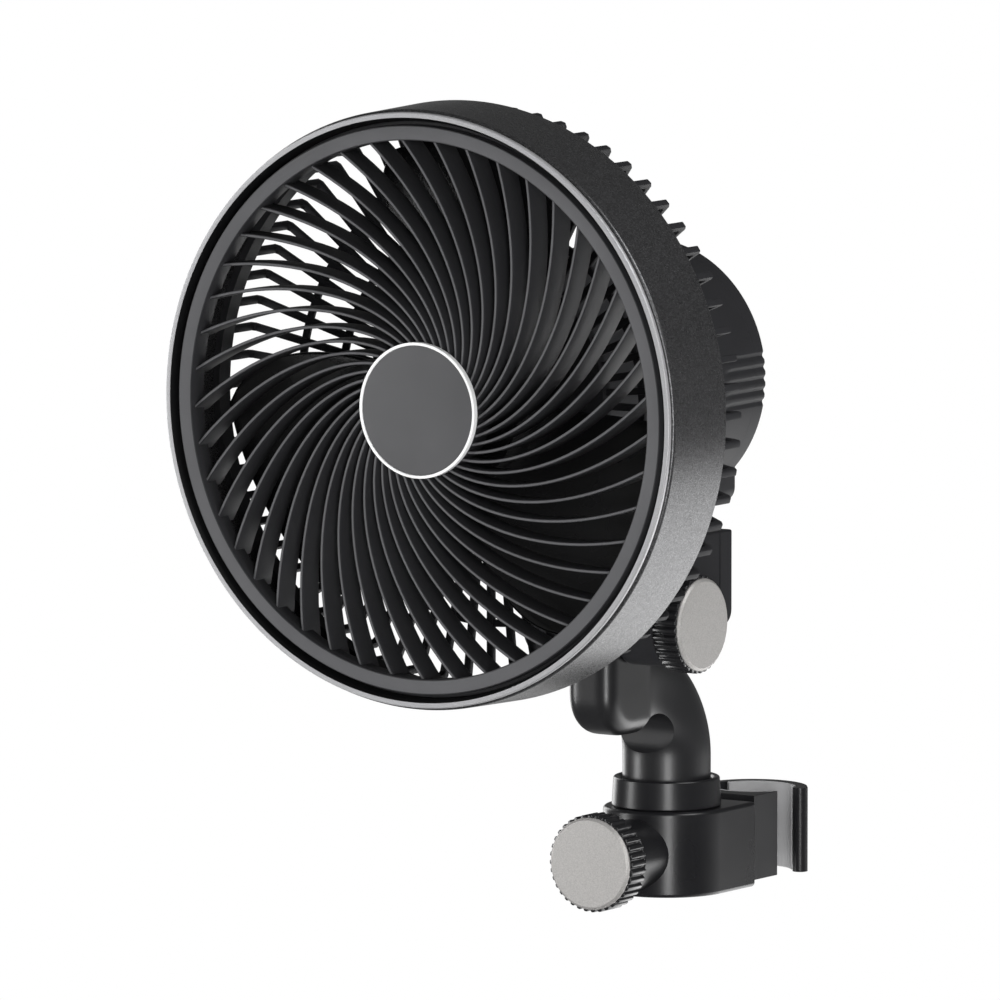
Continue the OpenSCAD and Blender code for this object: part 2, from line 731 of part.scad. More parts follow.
blade_rows = 10;
blade_cols = 10;
blade_mid = 28.5;
blade_start = 77;   // angle of the first blade
blade_wide = 84;    // degrees that a blade spans at its root
blade_taper = 22;
blade_tip_round = 14;
blade_rise = 15;    // depth from the trailing edge to the leading edge
blade_rise_loss = 3;
blade_sweep = 10;
blade_belly = 1.5;
function blade_row_r(i) = hub_r - 1 + (blade_r - hub_r + 1) * i / blade_rows;
function blade_share(i) = i / blade_rows;
// The leading edge, on the counter-clockwise side, lies deeper than the trailing edge
function blade_point(i, j, side) = let (
  r = blade_row_r(i),
  width = blade_wide - blade_taper * blade_share(i) - blade_tip_round * pow(blade_share(i), 8),
  rise = blade_rise - blade_rise_loss * blade_share(i),
  a = blade_sweep * blade_share(i) + width * (j / blade_cols - 0.5),
  belly = blade_belly * sin(180 * j / blade_cols),
  depth = blade_mid + rise * (j / blade_cols - 0.5) + belly)
  [r * cos(a), r * sin(a), -depth + side * blade_t / 2];

blade_n = blade_cols + 1;
blade_m = (blade_rows + 1) * blade_n;
function blade_id(i, j, s) = s * blade_m + i * blade_n + j;

module blade() polyhedron(
  points = [for (s = [1, -1], i = [0:blade_rows], j = [0:blade_cols]) blade_point(i, j, s)],
  faces = [
    for (i = [0:blade_rows - 1], j = [0:blade_cols - 1]) each [
      [blade_id(i, j, 0), blade_id(i + 1, j + 1, 0), blade_id(i + 1, j, 0)],
      [blade_id(i, j, 0), blade_id(i, j + 1, 0), blade_id(i + 1, j + 1, 0)],
      [blade_id(i, j, 1), blade_id(i + 1, j, 1), blade_id(i + 1, j + 1, 1)],
      [blade_id(i, j, 1), blade_id(i + 1, j + 1, 1), blade_id(i, j + 1, 1)]],
    for (i = [0:blade_rows - 1]) each [
      [blade_id(i, 0, 0), blade_id(i + 1, 0, 0), blade_id(i + 1, 0, 1)],
      [blade_id(i, 0, 0), blade_id(i + 1, 0, 1), blade_id(i, 0, 1)],
      [blade_id(i, blade_cols, 0), blade_id(i + 1, blade_cols, 1), blade_id(i + 1, blade_cols, 0)],
      [blade_id(i, blade_cols, 0), blade_id(i, blade_cols, 1), blade_id(i + 1, blade_cols, 1)]],
    for (j = [0:blade_cols - 1]) each [
      [blade_id(0, j, 0), blade_id(0, j, 1), blade_id(0, j + 1, 1)],
      [blade_id(0, j, 0), blade_id(0, j + 1, 1), blade_id(0, j + 1, 0)],
      [blade_id(blade_rows, j, 0), blade_id(blade_rows, j + 1, 1), blade_id(blade_rows, j, 1)],
      [blade_id(blade_rows, j, 0), blade_id(blade_rows, j + 1, 0), blade_id(blade_rows, j + 1, 1)]]]);

module impeller() color(black) at_face() {
  tube(hub_front, hub_back, hub_r, can_r);
  tube(hub_front, hub_front + hub_wall, hub_r, shaft_r + snug);
  for (i = [0:blade_count - 1]) rotate(blade_start + i * 360 / blade_count) blade();
}

nut_r = 5;
nut_t = 3;

module impeller_nut() color(steel) at_face() difference() {
  translate([0, 0, -hub_front]) cylinder(r = nut_r, h = nut_t, $fn = 6);
  disc(hub_front - nut_t + 0.1, hub_front + cut, shaft_r + snug);
}

// Motor and battery barrel

module foot_outline(inset) translate([0, (foot_top - foot_drop + inset) / 2])
  rounded_rect(foot_w - 2 * inset, foot_drop + foot_top - inset, foot_round - inset);

module barrel_outline(inset) {
  intersection() {
    circle(r = barrel_r - inset);
    translate([-barrel_d, -foot_drop + inset]) square([2 * barrel_d, barrel_d + foot_drop]);
  }
  foot_outline(inset);
}

module cap_screw_places() for (a = cap_screw_angles) rotate(a) translate([cap_screw_r, 0, 0]) children();

module board_posts(r, low, high)
  for (sx = [-1, 1], d = [bar_back + board_post_front, barrel_back - board_post_rear])
  translate([sx * (board_w / 2 - board_post_edge), low, -d]) rotate([-90, 0, 0]) cylinder(r = r, h = high - low);

module motor_housing() color(black) difference() {
  union() {
    at_face() difference() {
      slab(bar_back, barrel_back) barrel_outline(0);
      slab(bar_back + front_wall, barrel_back + cut) barrel_outline(barrel_wall);
    }
    at_face() intersection() {
      union() {
        cap_screw_places() disc(barrel_back - cap_boss_len, barrel_back, cap_boss_r);
        cap_screw_places() translate([0, -cap_rib_t / 2, -barrel_back])
          cube([barrel_r - cap_screw_r, cap_rib_t, cap_boss_len]);
        motor_screw_places() disc(bar_back + 1, bar_back + motor_boss_len, motor_boss_r);
        board_posts(board_post_r, -foot_drop + 1, board_y);
      }
      slab(bar_back, barrel_back) barrel_outline(0.5);
    }
    yoke_screw_places() translate([0, 0, axis_z - foot_drop - roof_z + 0.5])
      cylinder(r = yoke_boss_r, h = yoke_boss_len);
  }
  at_face() {
    disc(bar_back - cut, bar_back + front_wall + cut, tube_r + 1);
    motor_screw_places() disc(bar_back - cut, bar_back + motor_boss_len - 1, thread_r);
    cap_screw_places() disc(barrel_back - cap_boss_len + 2, barrel_back + cut, thread_r);
    for (side = [0, 180], i = [0:groove_count - 1])
      let (middle = (i - (groove_count - 1) / 2) * groove_pitch) rotate(side)
        translate([barrel_r - groove_t, middle - groove_w / 2, -barrel_back - cut])
          cube([groove_t + cut, groove_w, groove_len + cut]);
  }
  yoke_screw_places() translate([0, 0, 2])
    cylinder(r = yoke_screw_r, h = axis_z - foot_drop - roof_z + 2.5);
}

module rear_cap() color(black) at_face() difference() {
  union() {
    intersection() {
      rotate_extrude() polygon([at(0, barrel_back), at(barrel_r, barrel_back),
        for (a = [0:22.5:90]) at(barrel_r - cap_round * (1 - cos(a)), cap_back - cap_round * (1 - sin(a))),
        at(0, cap_back)]);
      translate([-barrel_d, -foot_drop, -cap_back - cut])
        cube([2 * barrel_d, barrel_d + foot_drop, cap_depth + 2 * cut]);
    }
    slab(barrel_back, barrel_back + foot_cap) foot_outline(0);
  }
  difference() {
    slab(barrel_back - cut, cap_back - cap_wall) intersection() {
      barrel_outline(barrel_wall);
      circle(r = barrel_r - cap_round + 1);
    }
    cap_screw_places() disc(barrel_back - cut, cap_back, cap_boss_r);
  }
  cap_screw_places() {
    disc(barrel_back - cut, cap_back + cut, thread_hole_r);
    disc(cap_back - cap_head_depth, cap_back + cut, cap_head_hole_r);
  }
  disc(barrel_back, cap_back + cut, button_d / 2 + 0.15);
  slab(barrel_back, cap_back + cut) translate([0, socket_y])
    rounded_rect(socket_w + 2 * socket_room, socket_h + socket_wall, socket_h / 2);
}

module cap_screws() color(steel) at_face() cap_screw_places() difference() {
  union() {
    disc(cap_back - cap_head_depth, cap_back - 0.4, cap_head_r);
    disc(barrel_back - cap_boss_len + 4, cap_back - 1, thread_r);
  }
  translate([0, 0, -cap_back + 1.6]) rotate([180, 0, 0]) cylinder(r = key_r, h = 2, $fn = 6);
}

module cell_places() for (a = [90, 210, 330]) rotate(a) translate([cell_ring, 0, 0]) children();

module battery_cells() color([0.2, 0.4, 0.55]) at_face() cell_places()
  disc(cell_front, cell_back, cell_d / 2);

module battery_cradle() color(grey) at_face() {
  slab(cell_front - cradle_t, cell_front) barrel_outline(barrel_wall + seat);
  disc(cell_back, cell_back + cradle_t, cradle_rim_r);
  for (a = [30, 150, 270]) rotate(a) translate([cradle_rod_ring, 0, 0])
    disc(cell_front - 1, cell_back + 1, cradle_rod_r);
}

module control_board() color([0.1, 0.3, 0.16]) at_face() {
  translate([-board_w / 2, board_y, -barrel_back + board_rear])
    cube([board_w, board_t, barrel_len - board_front - board_rear]);
  for (x = [-16, 4], d = [28, 44])
    translate([x, board_y + board_t - 0.1, -bar_back - d - chip_w]) cube([chip_w, chip_t + 0.1, chip_w]);
}

module charge_socket() color(steel) at_face() difference() {
  slab(barrel_back - socket_len, cap_back - 0.5) translate([0, socket_y])
    rounded_rect(socket_w, socket_h, socket_h / 2 - 0.2);
  slab(barrel_back - socket_depth, cap_back) difference() {
    translate([0, socket_y])
      rounded_rect(socket_w - 2 * socket_wall, socket_h - 2 * socket_wall, socket_h / 2 - 0.6);
    translate([0, socket_y]) square(socket_tongue, center = true);
  }
}

module switch_board() color([0.1, 0.3, 0.16]) at_face() {
  disc(cell_back + cradle_t, cell_back + cradle_t + board_t, switch_board_r);
  translate([-switch_w / 2, -switch_w / 2, -cell_back - cradle_t - board_t - switch_t])
    cube([switch_w, switch_w, switch_t + 0.2]);
}

module power_button() color(silver) at_face() {
  disc(button_back, cap_back + button_proud, button_d / 2);
  disc(button_back - button_flange, button_back, button_d / 2 + 2);
  disc(cap_back - cap_wall - button_stem, cap_back - cap_wall - 1, button_stem_r);
}

base_block();
hook();
hook_pad();
hook_screws();
thread_insert();
swivel_collar();
swivel_washer();
press_jaw();
jaw_pad();
guide_rods();
clamp_screw();
clamp_knob();
clamp_knob_cap();
arm();
tilt_washers();
yoke();
yoke_screws();
tilt_bolt();
tilt_knob();
tilt_knob_cap();
tilt_knob_insert();
band();
bezel();
front_grille();
badge_plate();
badge_ring();
rear_grille();
grille_screws();
bearing_tube();
bearings();
stator_core();
windings();
motor_shaft();
rotor_can();
magnets();
impeller();
impeller_nut();
motor_housing();
rear_cap();
cap_screws();
battery_cells();
battery_cradle();
control_board();
charge_socket();
switch_board();
power_button();
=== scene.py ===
"""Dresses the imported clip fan: smooth moulded pieces, procedural finishes, soft light and a white stage."""

import json
import math

import bmesh
import bpy
from bpy.props import FloatProperty, FloatVectorProperty, IntProperty, PointerProperty
from mathutils import Matrix, Vector


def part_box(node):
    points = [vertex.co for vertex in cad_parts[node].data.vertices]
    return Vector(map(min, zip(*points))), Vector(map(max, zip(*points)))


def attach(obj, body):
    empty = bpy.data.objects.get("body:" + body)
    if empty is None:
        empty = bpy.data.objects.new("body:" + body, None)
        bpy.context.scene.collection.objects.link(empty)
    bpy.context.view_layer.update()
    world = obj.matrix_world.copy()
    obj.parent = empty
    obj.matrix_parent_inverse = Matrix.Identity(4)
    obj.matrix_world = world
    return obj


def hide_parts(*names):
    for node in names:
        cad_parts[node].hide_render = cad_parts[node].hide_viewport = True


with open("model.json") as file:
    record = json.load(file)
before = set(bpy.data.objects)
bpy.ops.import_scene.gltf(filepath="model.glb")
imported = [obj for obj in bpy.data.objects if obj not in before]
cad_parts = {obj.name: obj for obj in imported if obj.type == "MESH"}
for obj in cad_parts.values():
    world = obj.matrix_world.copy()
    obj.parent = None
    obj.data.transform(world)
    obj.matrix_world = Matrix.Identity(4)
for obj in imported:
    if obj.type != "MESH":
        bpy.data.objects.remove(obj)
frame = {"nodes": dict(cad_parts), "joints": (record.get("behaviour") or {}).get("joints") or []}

bl_info = {
    "name": "Clip fan dresser",
    "version": (1, 0, 0),
    "blender": (4, 5, 0),
    "location": "View3D > Sidebar > Clip Fan",
    "description": "Builds the visual pieces of a clip fan over its packed solids",
    "category": "Object",
}

MM = 0.001
NEAR = 0.001 * MM
FULL_TURN = 2 * math.pi
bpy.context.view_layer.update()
JOINTS = {joint["name"]: joint for joint in frame["joints"]}
BAND_LOW, BAND_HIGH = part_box("band")
HEAD = Vector((0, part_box("bezel")[0].y, (BAND_LOW.z + BAND_HIGH.z) / 2))
TILT = Vector((0, *JOINTS["head_tilt"]["pos_m"][1:]))
POST = Vector(JOINTS["arm_swivel"]["pos_m"])
ALONG_X = Vector((1, 0, 0))
ALONG_Y = Vector((0, 1, 0))
ALONG_Z = Vector((0, 0, 1))

# Places that two pieces share, in millimetres
LIP_INSET = 1.6
CAGE_BACK = 48
HOOK_BED_FRONT = -53


def linear(hex_colour):
    """Turns an sRGB hex value into a linear colour with full alpha."""
    channels = [int(hex_colour[i:i + 2], 16) / 255 for i in (1, 3, 5)]
    return [c / 12.92 if c <= 0.04045 else ((c + 0.055) / 1.055) ** 2.4 for c in channels] + [1.0]


def length(name, description, millimetres):
    """A size property in metres, shown as a length."""
    return FloatProperty(name=name, description=description, default=millimetres * MM, min=0, unit="LENGTH")


def number(name, description, default, least):
    """A property that counts like pieces."""
    return IntProperty(name=name, description=description, default=default, min=least)


def tint(name, description, hex_colour):
    """A colour property, given as an sRGB hex value."""
    return FloatVectorProperty(name=name, description=description, subtype="COLOR", size=4, min=0, max=1,
                               default=linear(hex_colour))


class FanHeadSizes(bpy.types.PropertyGroup):
    """Sizes of the caged fan head."""

    band_radius: FloatProperty(name="Band radius", description="Outer radius of the band at its rear edge",
                               default=(BAND_HIGH.x - BAND_LOW.x) / 2, unit="LENGTH")
    band_depth: length("Band depth", "From the front face to the band's rear edge", 33)
    lip_width: length("Lip width", "Width of the satin lip", 3)
    flat_width: length("Flat ring width", "Width of the flat grey ring", 5)
    fin_count: number("Fins", "Number of spiral fins", 45, 3)
    fin_thickness: length("Fin thickness", "Thickness of a spiral fin", 1.1)
    fin_depth: length("Fin depth", "Depth of a spiral fin from front to back", 10)
    badge_radius: length("Badge radius", "Radius of the badge with its bright ring", 22.5)
    bar_count: number("Rear bars", "Number of bars in the rear grille", 64, 3)
    bar_thickness: length("Bar thickness", "Thickness of a rear bar", 2.4)
    bar_depth: length("Bar depth", "Depth of a rear bar", 2.5)
    blade_count: number("Blades", "Number of impeller blades", 3, 2)
    blade_radius: length("Blade radius", "Radius at the blade tips", 87.5)
    hub_radius: length("Hub radius", "Radius of the impeller's hub", 27)
    barrel_radius: length("Barrel radius", "Radius of the motor and battery barrel", 45)
    foot_width: length("Foot width", "Width of the flat foot under the barrel", 66)
    foot_drop: length("Foot drop", "From the fan's axis down to the foot's flat", 42.5)
    groove_count: number("Grip grooves", "Grip grooves on each side", 5, 1)


class StandSizes(bpy.types.PropertyGroup):
    """Sizes of the yoke, the arm and the clamp."""

    yoke_width: length("Yoke width", "Width over the yoke's cheeks", 52)
    cheek_thickness: length("Cheek thickness", "Thickness of the yoke's side plates", 7)
    knob_radius: length("Knob radius", "Radius over the ridges of a knob", 16.5)
    knob_thickness: length("Knob thickness", "Thickness of the ridged part of a knob", 9)
    knob_ridges: number("Knob ridges", "Number of ridges round a knob", 36, 8)
    cap_thickness: length("Cap thickness", "Thickness of a knob's metal cap", 1.4)
    post_radius: length("Post radius", "Radius of the arm's round post", 15)
    bend_radius: length("Bend radius", "Radius of the bend's centre line", 25)
    eye_thickness: length("Eye thickness", "Thickness of the arm at the tilt eye", 18.8)
    eye_radius: length("Eye radius", "Radius of the tilt eye", 14.6)
    clamp_height: length("Clamp height", "Height of the jaws and the base block", 29)
    pole_radius: length("Pole radius", "Radius of the pole in the jaws", 13)
    pad_thickness: length("Pad thickness", "Thickness of the soft pads", 1.5)
    hook_wall: length("Hook wall", "Wall of the fixed hook", 4)


class FanColours(bpy.types.PropertyGroup):
    """Colours of the finishes."""

    nylon: tint("Nylon", "Satin black nylon of the arm, the block and the jaws", "#18181a")
    shell: tint("Shell", "Matte black ABS of the barrel, the yoke and the rear grille", "#28282a")
    band: tint("Band", "Gunmetal paint of the band", "#3a3a3b")
    flake: tint("Flake", "Brighter flakes in the band's paint", "#6c6c6e")
    lip: tint("Lip", "Satin lip round the front", "#a9a9ab")
    grille: tint("Grille", "Grey of the grille, seen on its front faces", "#565658")
    # Darker colour painted on the fins' sides and deep faces as shade between the fins
    grille_side_shade: tint("Grille side shade", "Painted shade on the grille's sides", "#2c2c2e")
    # Near black painted shade for the lip's sloped and deep faces, where its groove lies in shade
    lip_shade: tint("Lip shade", "Painted shade on the sides of the lip", "#0f0f10")
    badge: tint("Badge", "Grey badge plate", "#474749")
    badge_ring: tint("Badge ring", "Bright ring round the badge", "#f2f2f2")
    blade: tint("Blade", "Black impeller", "#131314")
    cap: tint("Cap", "Blasted aluminium of the knob caps", "#aba9a7")
    pad: tint("Pad", "Grey rubber pads", "#a6a6a7")


def sizes_head():
    """The fan head's sizes."""
    return bpy.context.scene.clip_fan_head


def sizes_stand():
    """The stand's sizes."""
    return bpy.context.scene.clip_fan_stand


def colours():
    """The finishes' colours."""
    return bpy.context.scene.clip_fan_colours


# Materials

# A Mix node keeps its blended colour in this one of its outputs
MIXED_COLOUR = 2


def add(tree, kind, inputs=None, **settings):
    """Adds a shader node, with its settings, and gives each named input a value or another node's output."""
    node = tree.nodes.new(kind)
    for key, value in settings.items():
        setattr(node, key, value)
    by_identifier = {socket.identifier: socket for socket in node.inputs}
    for key, value in (inputs or {}).items():
        socket = by_identifier.get(key) or node.inputs[key]
        if isinstance(value, bpy.types.NodeSocket):
            tree.links.new(value, socket)
        else:
            socket.default_value = value
    return node


def begin(name):
    """A new material with an empty node tree and the piece's own coordinates in metres."""
    found = bpy.data.materials.get(name)
    if found:
        bpy.data.materials.remove(found)
    material = bpy.data.materials.new(name)
    material.use_nodes = True
    material.node_tree.nodes.clear()
    return material, material.node_tree, add(material.node_tree, "ShaderNodeTexCoord").outputs["Object"]


def finished(material, share, dark, light, gloss, height, strength, height_mm, constants):
    """Ends a material: two colours blended by a share, a gloss, a fine relief and plain shader numbers."""
    tree = material.node_tree
    tone = add(tree, "ShaderNodeMix", {"Factor_Float": share, "A_Color": dark, "B_Color": light},
               data_type="RGBA")
    bump = add(tree, "ShaderNodeBump", {"Height": height, "Strength": strength, "Distance": height_mm * MM})
    looks = {"Base Color": tone.outputs[MIXED_COLOUR], "Roughness": gloss, "Normal": bump.outputs["Normal"]}
    shader = add(tree, "ShaderNodeBsdfPrincipled", {**looks, **constants})
    add(tree, "ShaderNodeOutputMaterial", {"Surface": shader.outputs["BSDF"]})
    return material


def per_mm(millimetres):
    """Texture scale for a pattern that repeats about every so many millimetres."""
    return 1 / (millimetres * MM)


def shaded(colour, factor):
    """A colour made lighter or darker."""
    return [min(1, c * factor) for c in colour[:3]] + [1.0]


def moulded(name, colour, roughness, grain_mm, grain_height_mm, mirror=0.5):
    """Moulded plastic. Spark-eroded mould grain breaks up the gloss, and slow clouds vary colour and sheen a
    little. mirror is the specular level: a coarse matte texture swallows most of the mirrored light."""
    cloud_mm = 22
    material, tree, place = begin(name)
    cloud = add(tree, "ShaderNodeTexNoise", {"Vector": place, "Scale": per_mm(cloud_mm), "Detail": 3.0})
    gloss = add(tree, "ShaderNodeMapRange", {"Value": cloud.outputs["Fac"], "From Min": 0.15,
                                             "From Max": 0.85, "To Min": roughness - 0.04,
                                             "To Max": roughness + 0.05})
    grain = add(tree, "ShaderNodeTexNoise", {"Vector": place, "Scale": per_mm(grain_mm), "Detail": 2.0})
    return finished(material, cloud.outputs["Fac"], shaded(colour, 0.86), shaded(colour, 1.16),
                    gloss.outputs["Result"], grain.outputs["Fac"], strength=0.6, height_mm=grain_height_mm,
                    constants={"IOR": 1.5, "Specular IOR Level": mirror})


def flaked_paint(name, colour, flake, roughness, flake_mm):
    """Gunmetal paint with metal flake. Each flake is a small cell that is a little lighter and has its own
    gloss, so the surface glitters like fine sand. The flakes are drawn coarser than real ones so that they
    show."""
    material, tree, place = begin(name)
    cell = add(tree, "ShaderNodeTexVoronoi", {"Vector": place, "Scale": per_mm(flake_mm)})
    spark = add(tree, "ShaderNodeSeparateColor", {"Color": cell.outputs["Color"]})
    share = add(tree, "ShaderNodeMapRange", {"Value": spark.outputs["Red"], "From Min": 0.45, "From Max": 1.0,
                                             "To Min": 0.0, "To Max": 0.55})
    gloss = add(tree, "ShaderNodeMapRange", {"Value": spark.outputs["Green"], "To Min": roughness - 0.08,
                                             "To Max": roughness + 0.1})
    grain = add(tree, "ShaderNodeTexNoise", {"Vector": place, "Scale": per_mm(flake_mm * 1.4), "Detail": 2.0})
    return finished(material, share.outputs["Result"], colour, flake, gloss.outputs["Result"],
                    grain.outputs["Fac"], strength=0.5, height_mm=0.08, constants={"Metallic": 0.6})


def blasted_metal(name, colour, roughness, grain_mm, metallic):
    """Bead-blasted metal. Small dents scatter the light into an even satin with a fine speckle."""
    material, tree, place = begin(name)
    speck = add(tree, "ShaderNodeTexNoise", {"Vector": place, "Scale": per_mm(grain_mm), "Detail": 3.0,
                                             "Roughness": 0.7})
    share = add(tree, "ShaderNodeMapRange", {"Value": speck.outputs["Fac"], "From Min": 0.3, "From Max": 0.7})
    gloss = add(tree, "ShaderNodeMapRange", {"Value": speck.outputs["Fac"], "To Min": roughness - 0.08,
                                             "To Max": roughness + 0.08})
    return finished(material, share.outputs["Result"], shaded(colour, 0.8), shaded(colour, 1.18),
                    gloss.outputs["Result"], speck.outputs["Fac"], strength=0.5, height_mm=0.05,
                    constants={"Metallic": metallic})


def turned_metal(name, colour, roughness, line_mm):
    """Turned or drawn metal. Fine tool lines follow each other along Y and break up the highlight."""
    material, tree, place = begin(name)
    lines = add(tree, "ShaderNodeMapping", {"Vector": place, "Scale": (0.08, 1.0, 0.08)})
    noise = add(tree, "ShaderNodeTexNoise", {"Vector": lines.outputs["Vector"], "Scale": per_mm(line_mm),
                                             "Detail": 2.0})
    gloss = add(tree, "ShaderNodeMapRange", {"Value": noise.outputs["Fac"], "To Min": roughness - 0.08,
                                             "To Max": roughness + 0.08})
    return finished(material, noise.outputs["Fac"], shaded(colour, 0.85), shaded(colour, 1.12),
                    gloss.outputs["Result"], noise.outputs["Fac"], strength=0.3, height_mm=0.03,
                    constants={"Metallic": 1.0})


# Mesh building, with sizes in millimetres


def wire(points, closed):
    """A bmesh that holds a line of points joined by edges."""
    bm = bmesh.new()
    verts = [bm.verts.new(p) for p in points]
    for first, second in zip(verts, verts[1:]):
        bm.edges.new((first, second))
    if closed:
        bm.edges.new((verts[-1], verts[0]))
    return bm


def settle(bm):
    """Merges what coincides and turns the faces outwards."""
    bmesh.ops.remove_doubles(bm, verts=bm.verts, dist=0.002 * MM)
    bmesh.ops.recalc_face_normals(bm, faces=bm.faces)
    return bm


def verts_of(geometry):
    """The vertices among an operator's results."""
    return [g for g in geometry if isinstance(g, bmesh.types.BMVert)]


def round_edges(bm, edges, width, segments):
    """Rounds some edges."""
    bmesh.ops.bevel(bm, geom=edges, offset=width * MM, offset_type="OFFSET", segments=segments, profile=0.5,
                    affect="EDGES", clamp_overlap=True, material=-1)
    return bm


def soften(bm, width, segments=2, sharper_than=38):
    """Rounds every edge that is sharper than an angle."""
    limit = math.radians(sharper_than)
    sharp = [e for e in bm.edges if e.is_manifold and e.calc_face_angle(0) > limit]
    return round_edges(bm, sharp, width, segments)


def spun(profile, centre, axis, start, segments=128, closed=True):
    """Turns a profile of (radius, distance along the axis) round an axis through a centre."""
    line = [centre + start * (radius * MM) + axis * (along * MM) for radius, along in profile]
    bm = wire(line, closed)
    bmesh.ops.spin(bm, geom=bm.verts[:] + bm.edges[:], cent=centre, axis=axis, dvec=(0, 0, 0),
                   angle=FULL_TURN, steps=segments, use_merge=True)
    return settle(bm)


def drum(radius, low, high, centre, axis, start, segments):
    """A solid drum from low to high along an axis."""
    return spun([(0, low), (radius, low), (radius, high), (0, high)], centre, axis, start, segments, False)


def bore(radius, across, front, rear):
    """A round cutter along Y at height 0."""
    return drum(radius, 0, rear - front, Vector((across * MM, front * MM, 0)), ALONG_Y, ALONG_Z, 48)


def head_spun(profile, segments=192, closed=True):
    """Turns a profile of (radius, depth) round the fan's axis."""
    return spun(profile, HEAD, ALONG_Y, ALONG_X, segments, closed)


def hoop(inner, outer, front, back, segments=192):
    """A ring of square section round the fan's axis."""
    return head_spun([(inner, front), (outer, front), (outer, back), (inner, back)], segments)


def plate(outline, low, high, place):
    """Extrudes a flat outline from low to high. place turns (u, v, height) in metres into a point."""
    bm = bmesh.new()
    face = bm.faces.new([bm.verts.new(place(u * MM, v * MM, low * MM)) for u, v in outline])
    grown = bmesh.ops.extrude_face_region(bm, geom=[face])["geom"]
    shift = place(0, 0, high * MM) - place(0, 0, low * MM)
    bmesh.ops.translate(bm, verts=verts_of(grown), vec=shift)
    return settle(bm)


def swept(rings):
    """Extrudes a closed ring of points, in metres, through the rings that follow it."""
    bm = bmesh.new()
    face = bm.faces.new([bm.verts.new(point) for point in rings[0]])
    for step, ring in enumerate(rings[1:]):
        grown = bmesh.ops.extrude_face_region(bm, geom=[face])["geom"]
        old, face = face, [g for g in grown if isinstance(g, bmesh.types.BMFace)][0]
        if step:
            bmesh.ops.delete(bm, geom=[old], context="FACES_ONLY")
        for vert, point in zip(face.verts, ring):
            vert.co = point
    return settle(bm)


def thickened(bm, thickness):
    """Gives a sheet its thickness."""
    bmesh.ops.recalc_face_normals(bm, faces=bm.faces)
    bmesh.ops.solidify(bm, geom=bm.faces[:], thickness=thickness * MM)
    bmesh.ops.recalc_face_normals(bm, faces=bm.faces)
    return bm


def box(low, high):
    """A plain box between two corners."""
    bm = bmesh.new()
    bmesh.ops.create_cube(bm, size=1)
    low, high = Vector(low) * MM, Vector(high) * MM
    bmesh.ops.scale(bm, vec=high - low, verts=bm.verts)
    bmesh.ops.translate(bm, vec=(low + high) / 2, verts=bm.verts)
    return bm


def arc(centre, radius, start, end, steps):
    """Points along a flat arc. Angles are in degrees."""
    angles = [math.radians(start + (end - start) * i / steps) for i in range(steps + 1)]
    return [(centre[0] + radius * math.cos(a), centre[1] + radius * math.sin(a)) for a in angles]


def flat_plan(u, v, height):
    """Plan outlines: u along X, v along Y, extruded upwards."""
    return Vector((u, v, height))


def side_view(u, v, height):
    """Side outlines: u along Y, v along Z, extruded along X."""
    return Vector((height, u, v))


def end_view(u, v, height):
    """End outlines: u along X, v along Z, extruded along Y."""
    return Vector((u, height, v))


def front_view(u, v, depth):
    """Outlines seen from the front of the fan, round its axis, extruded backwards."""
    return HEAD + Vector((u, depth, v))


def head_plan(u, v, height):
    """Outlines of (radius, depth) in the level plane through the fan's axis, extruded upwards."""
    return HEAD + Vector((u, v, height))


def joined(*parts):
    """Puts several bmeshes into one."""
    whole = bmesh.new()
    for part in parts:
        mesh = bpy.data.meshes.new("part")
        part.to_mesh(mesh)
        part.free()
        whole.from_mesh(mesh)
        bpy.data.meshes.remove(mesh)
    return whole


def around(bm, count):
    """Repeats a whole bmesh evenly round the fan's axis."""
    source = bm.verts[:] + bm.edges[:] + bm.faces[:]
    for i in range(1, count):
        copy = bmesh.ops.duplicate(bm, geom=source)["geom"]
        turn = Matrix.Rotation(FULL_TURN * i / count, 3, "Y")
        bmesh.ops.rotate(bm, verts=verts_of(copy), cent=HEAD, matrix=turn)
    return bm


def as_object(bm, name):
    """Makes an object of a bmesh, which is freed."""
    mesh = bpy.data.meshes.new(name)
    bm.to_mesh(mesh)
    bm.free()
    obj = bpy.data.objects.new(name, mesh)
    bpy.context.scene.collection.objects.link(obj)
    return obj


def piece(name, bm, body, material, nodes, smooth_angle=40, weighted=True, sides=None):
    """Makes an object of a bmesh, with its finish, that rides on a body and stands for CAD nodes. Faces with
    index 1 take the finish for sides."""
    obj = as_object(bm, name)
    obj.data.materials.append(material)
    if sides:
        obj.data.materials.append(sides)
    obj.data.shade_smooth()
    obj.data.set_sharp_from_angle(angle=math.radians(smooth_angle))
    if weighted:
        evened = obj.modifiers.new("even_shading", "WEIGHTED_NORMAL")
        evened.keep_sharp = True
    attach(obj, body)
    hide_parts(*nodes)


def applied(block, extra=()):
    """Returns an object's mesh with its modifiers applied as a bmesh, and removes the object."""
    bpy.context.view_layer.update()
    ready = block.evaluated_get(bpy.context.evaluated_depsgraph_get())
    result = bmesh.new()
    result.from_mesh(ready.to_mesh())
    ready.to_mesh_clear()
    for obj in [block, *extra]:
        mesh = obj.data
        bpy.data.objects.remove(obj)
        bpy.data.meshes.remove(mesh)
    return result


def carve(bm, cutters):
    """Cuts closed shapes out of a bmesh and returns the result as a new bmesh."""
    block = as_object(bm, "carved")
    tools = [as_object(cutter, "cutter") for cutter in cutters]
    for tool in tools:
        cut = block.modifiers.new("cut", "BOOLEAN")
        cut.operation = "DIFFERENCE"
        cut.solver = "EXACT"
        cut.use_self = True
        cut.object = tool
    return applied(block, tools)


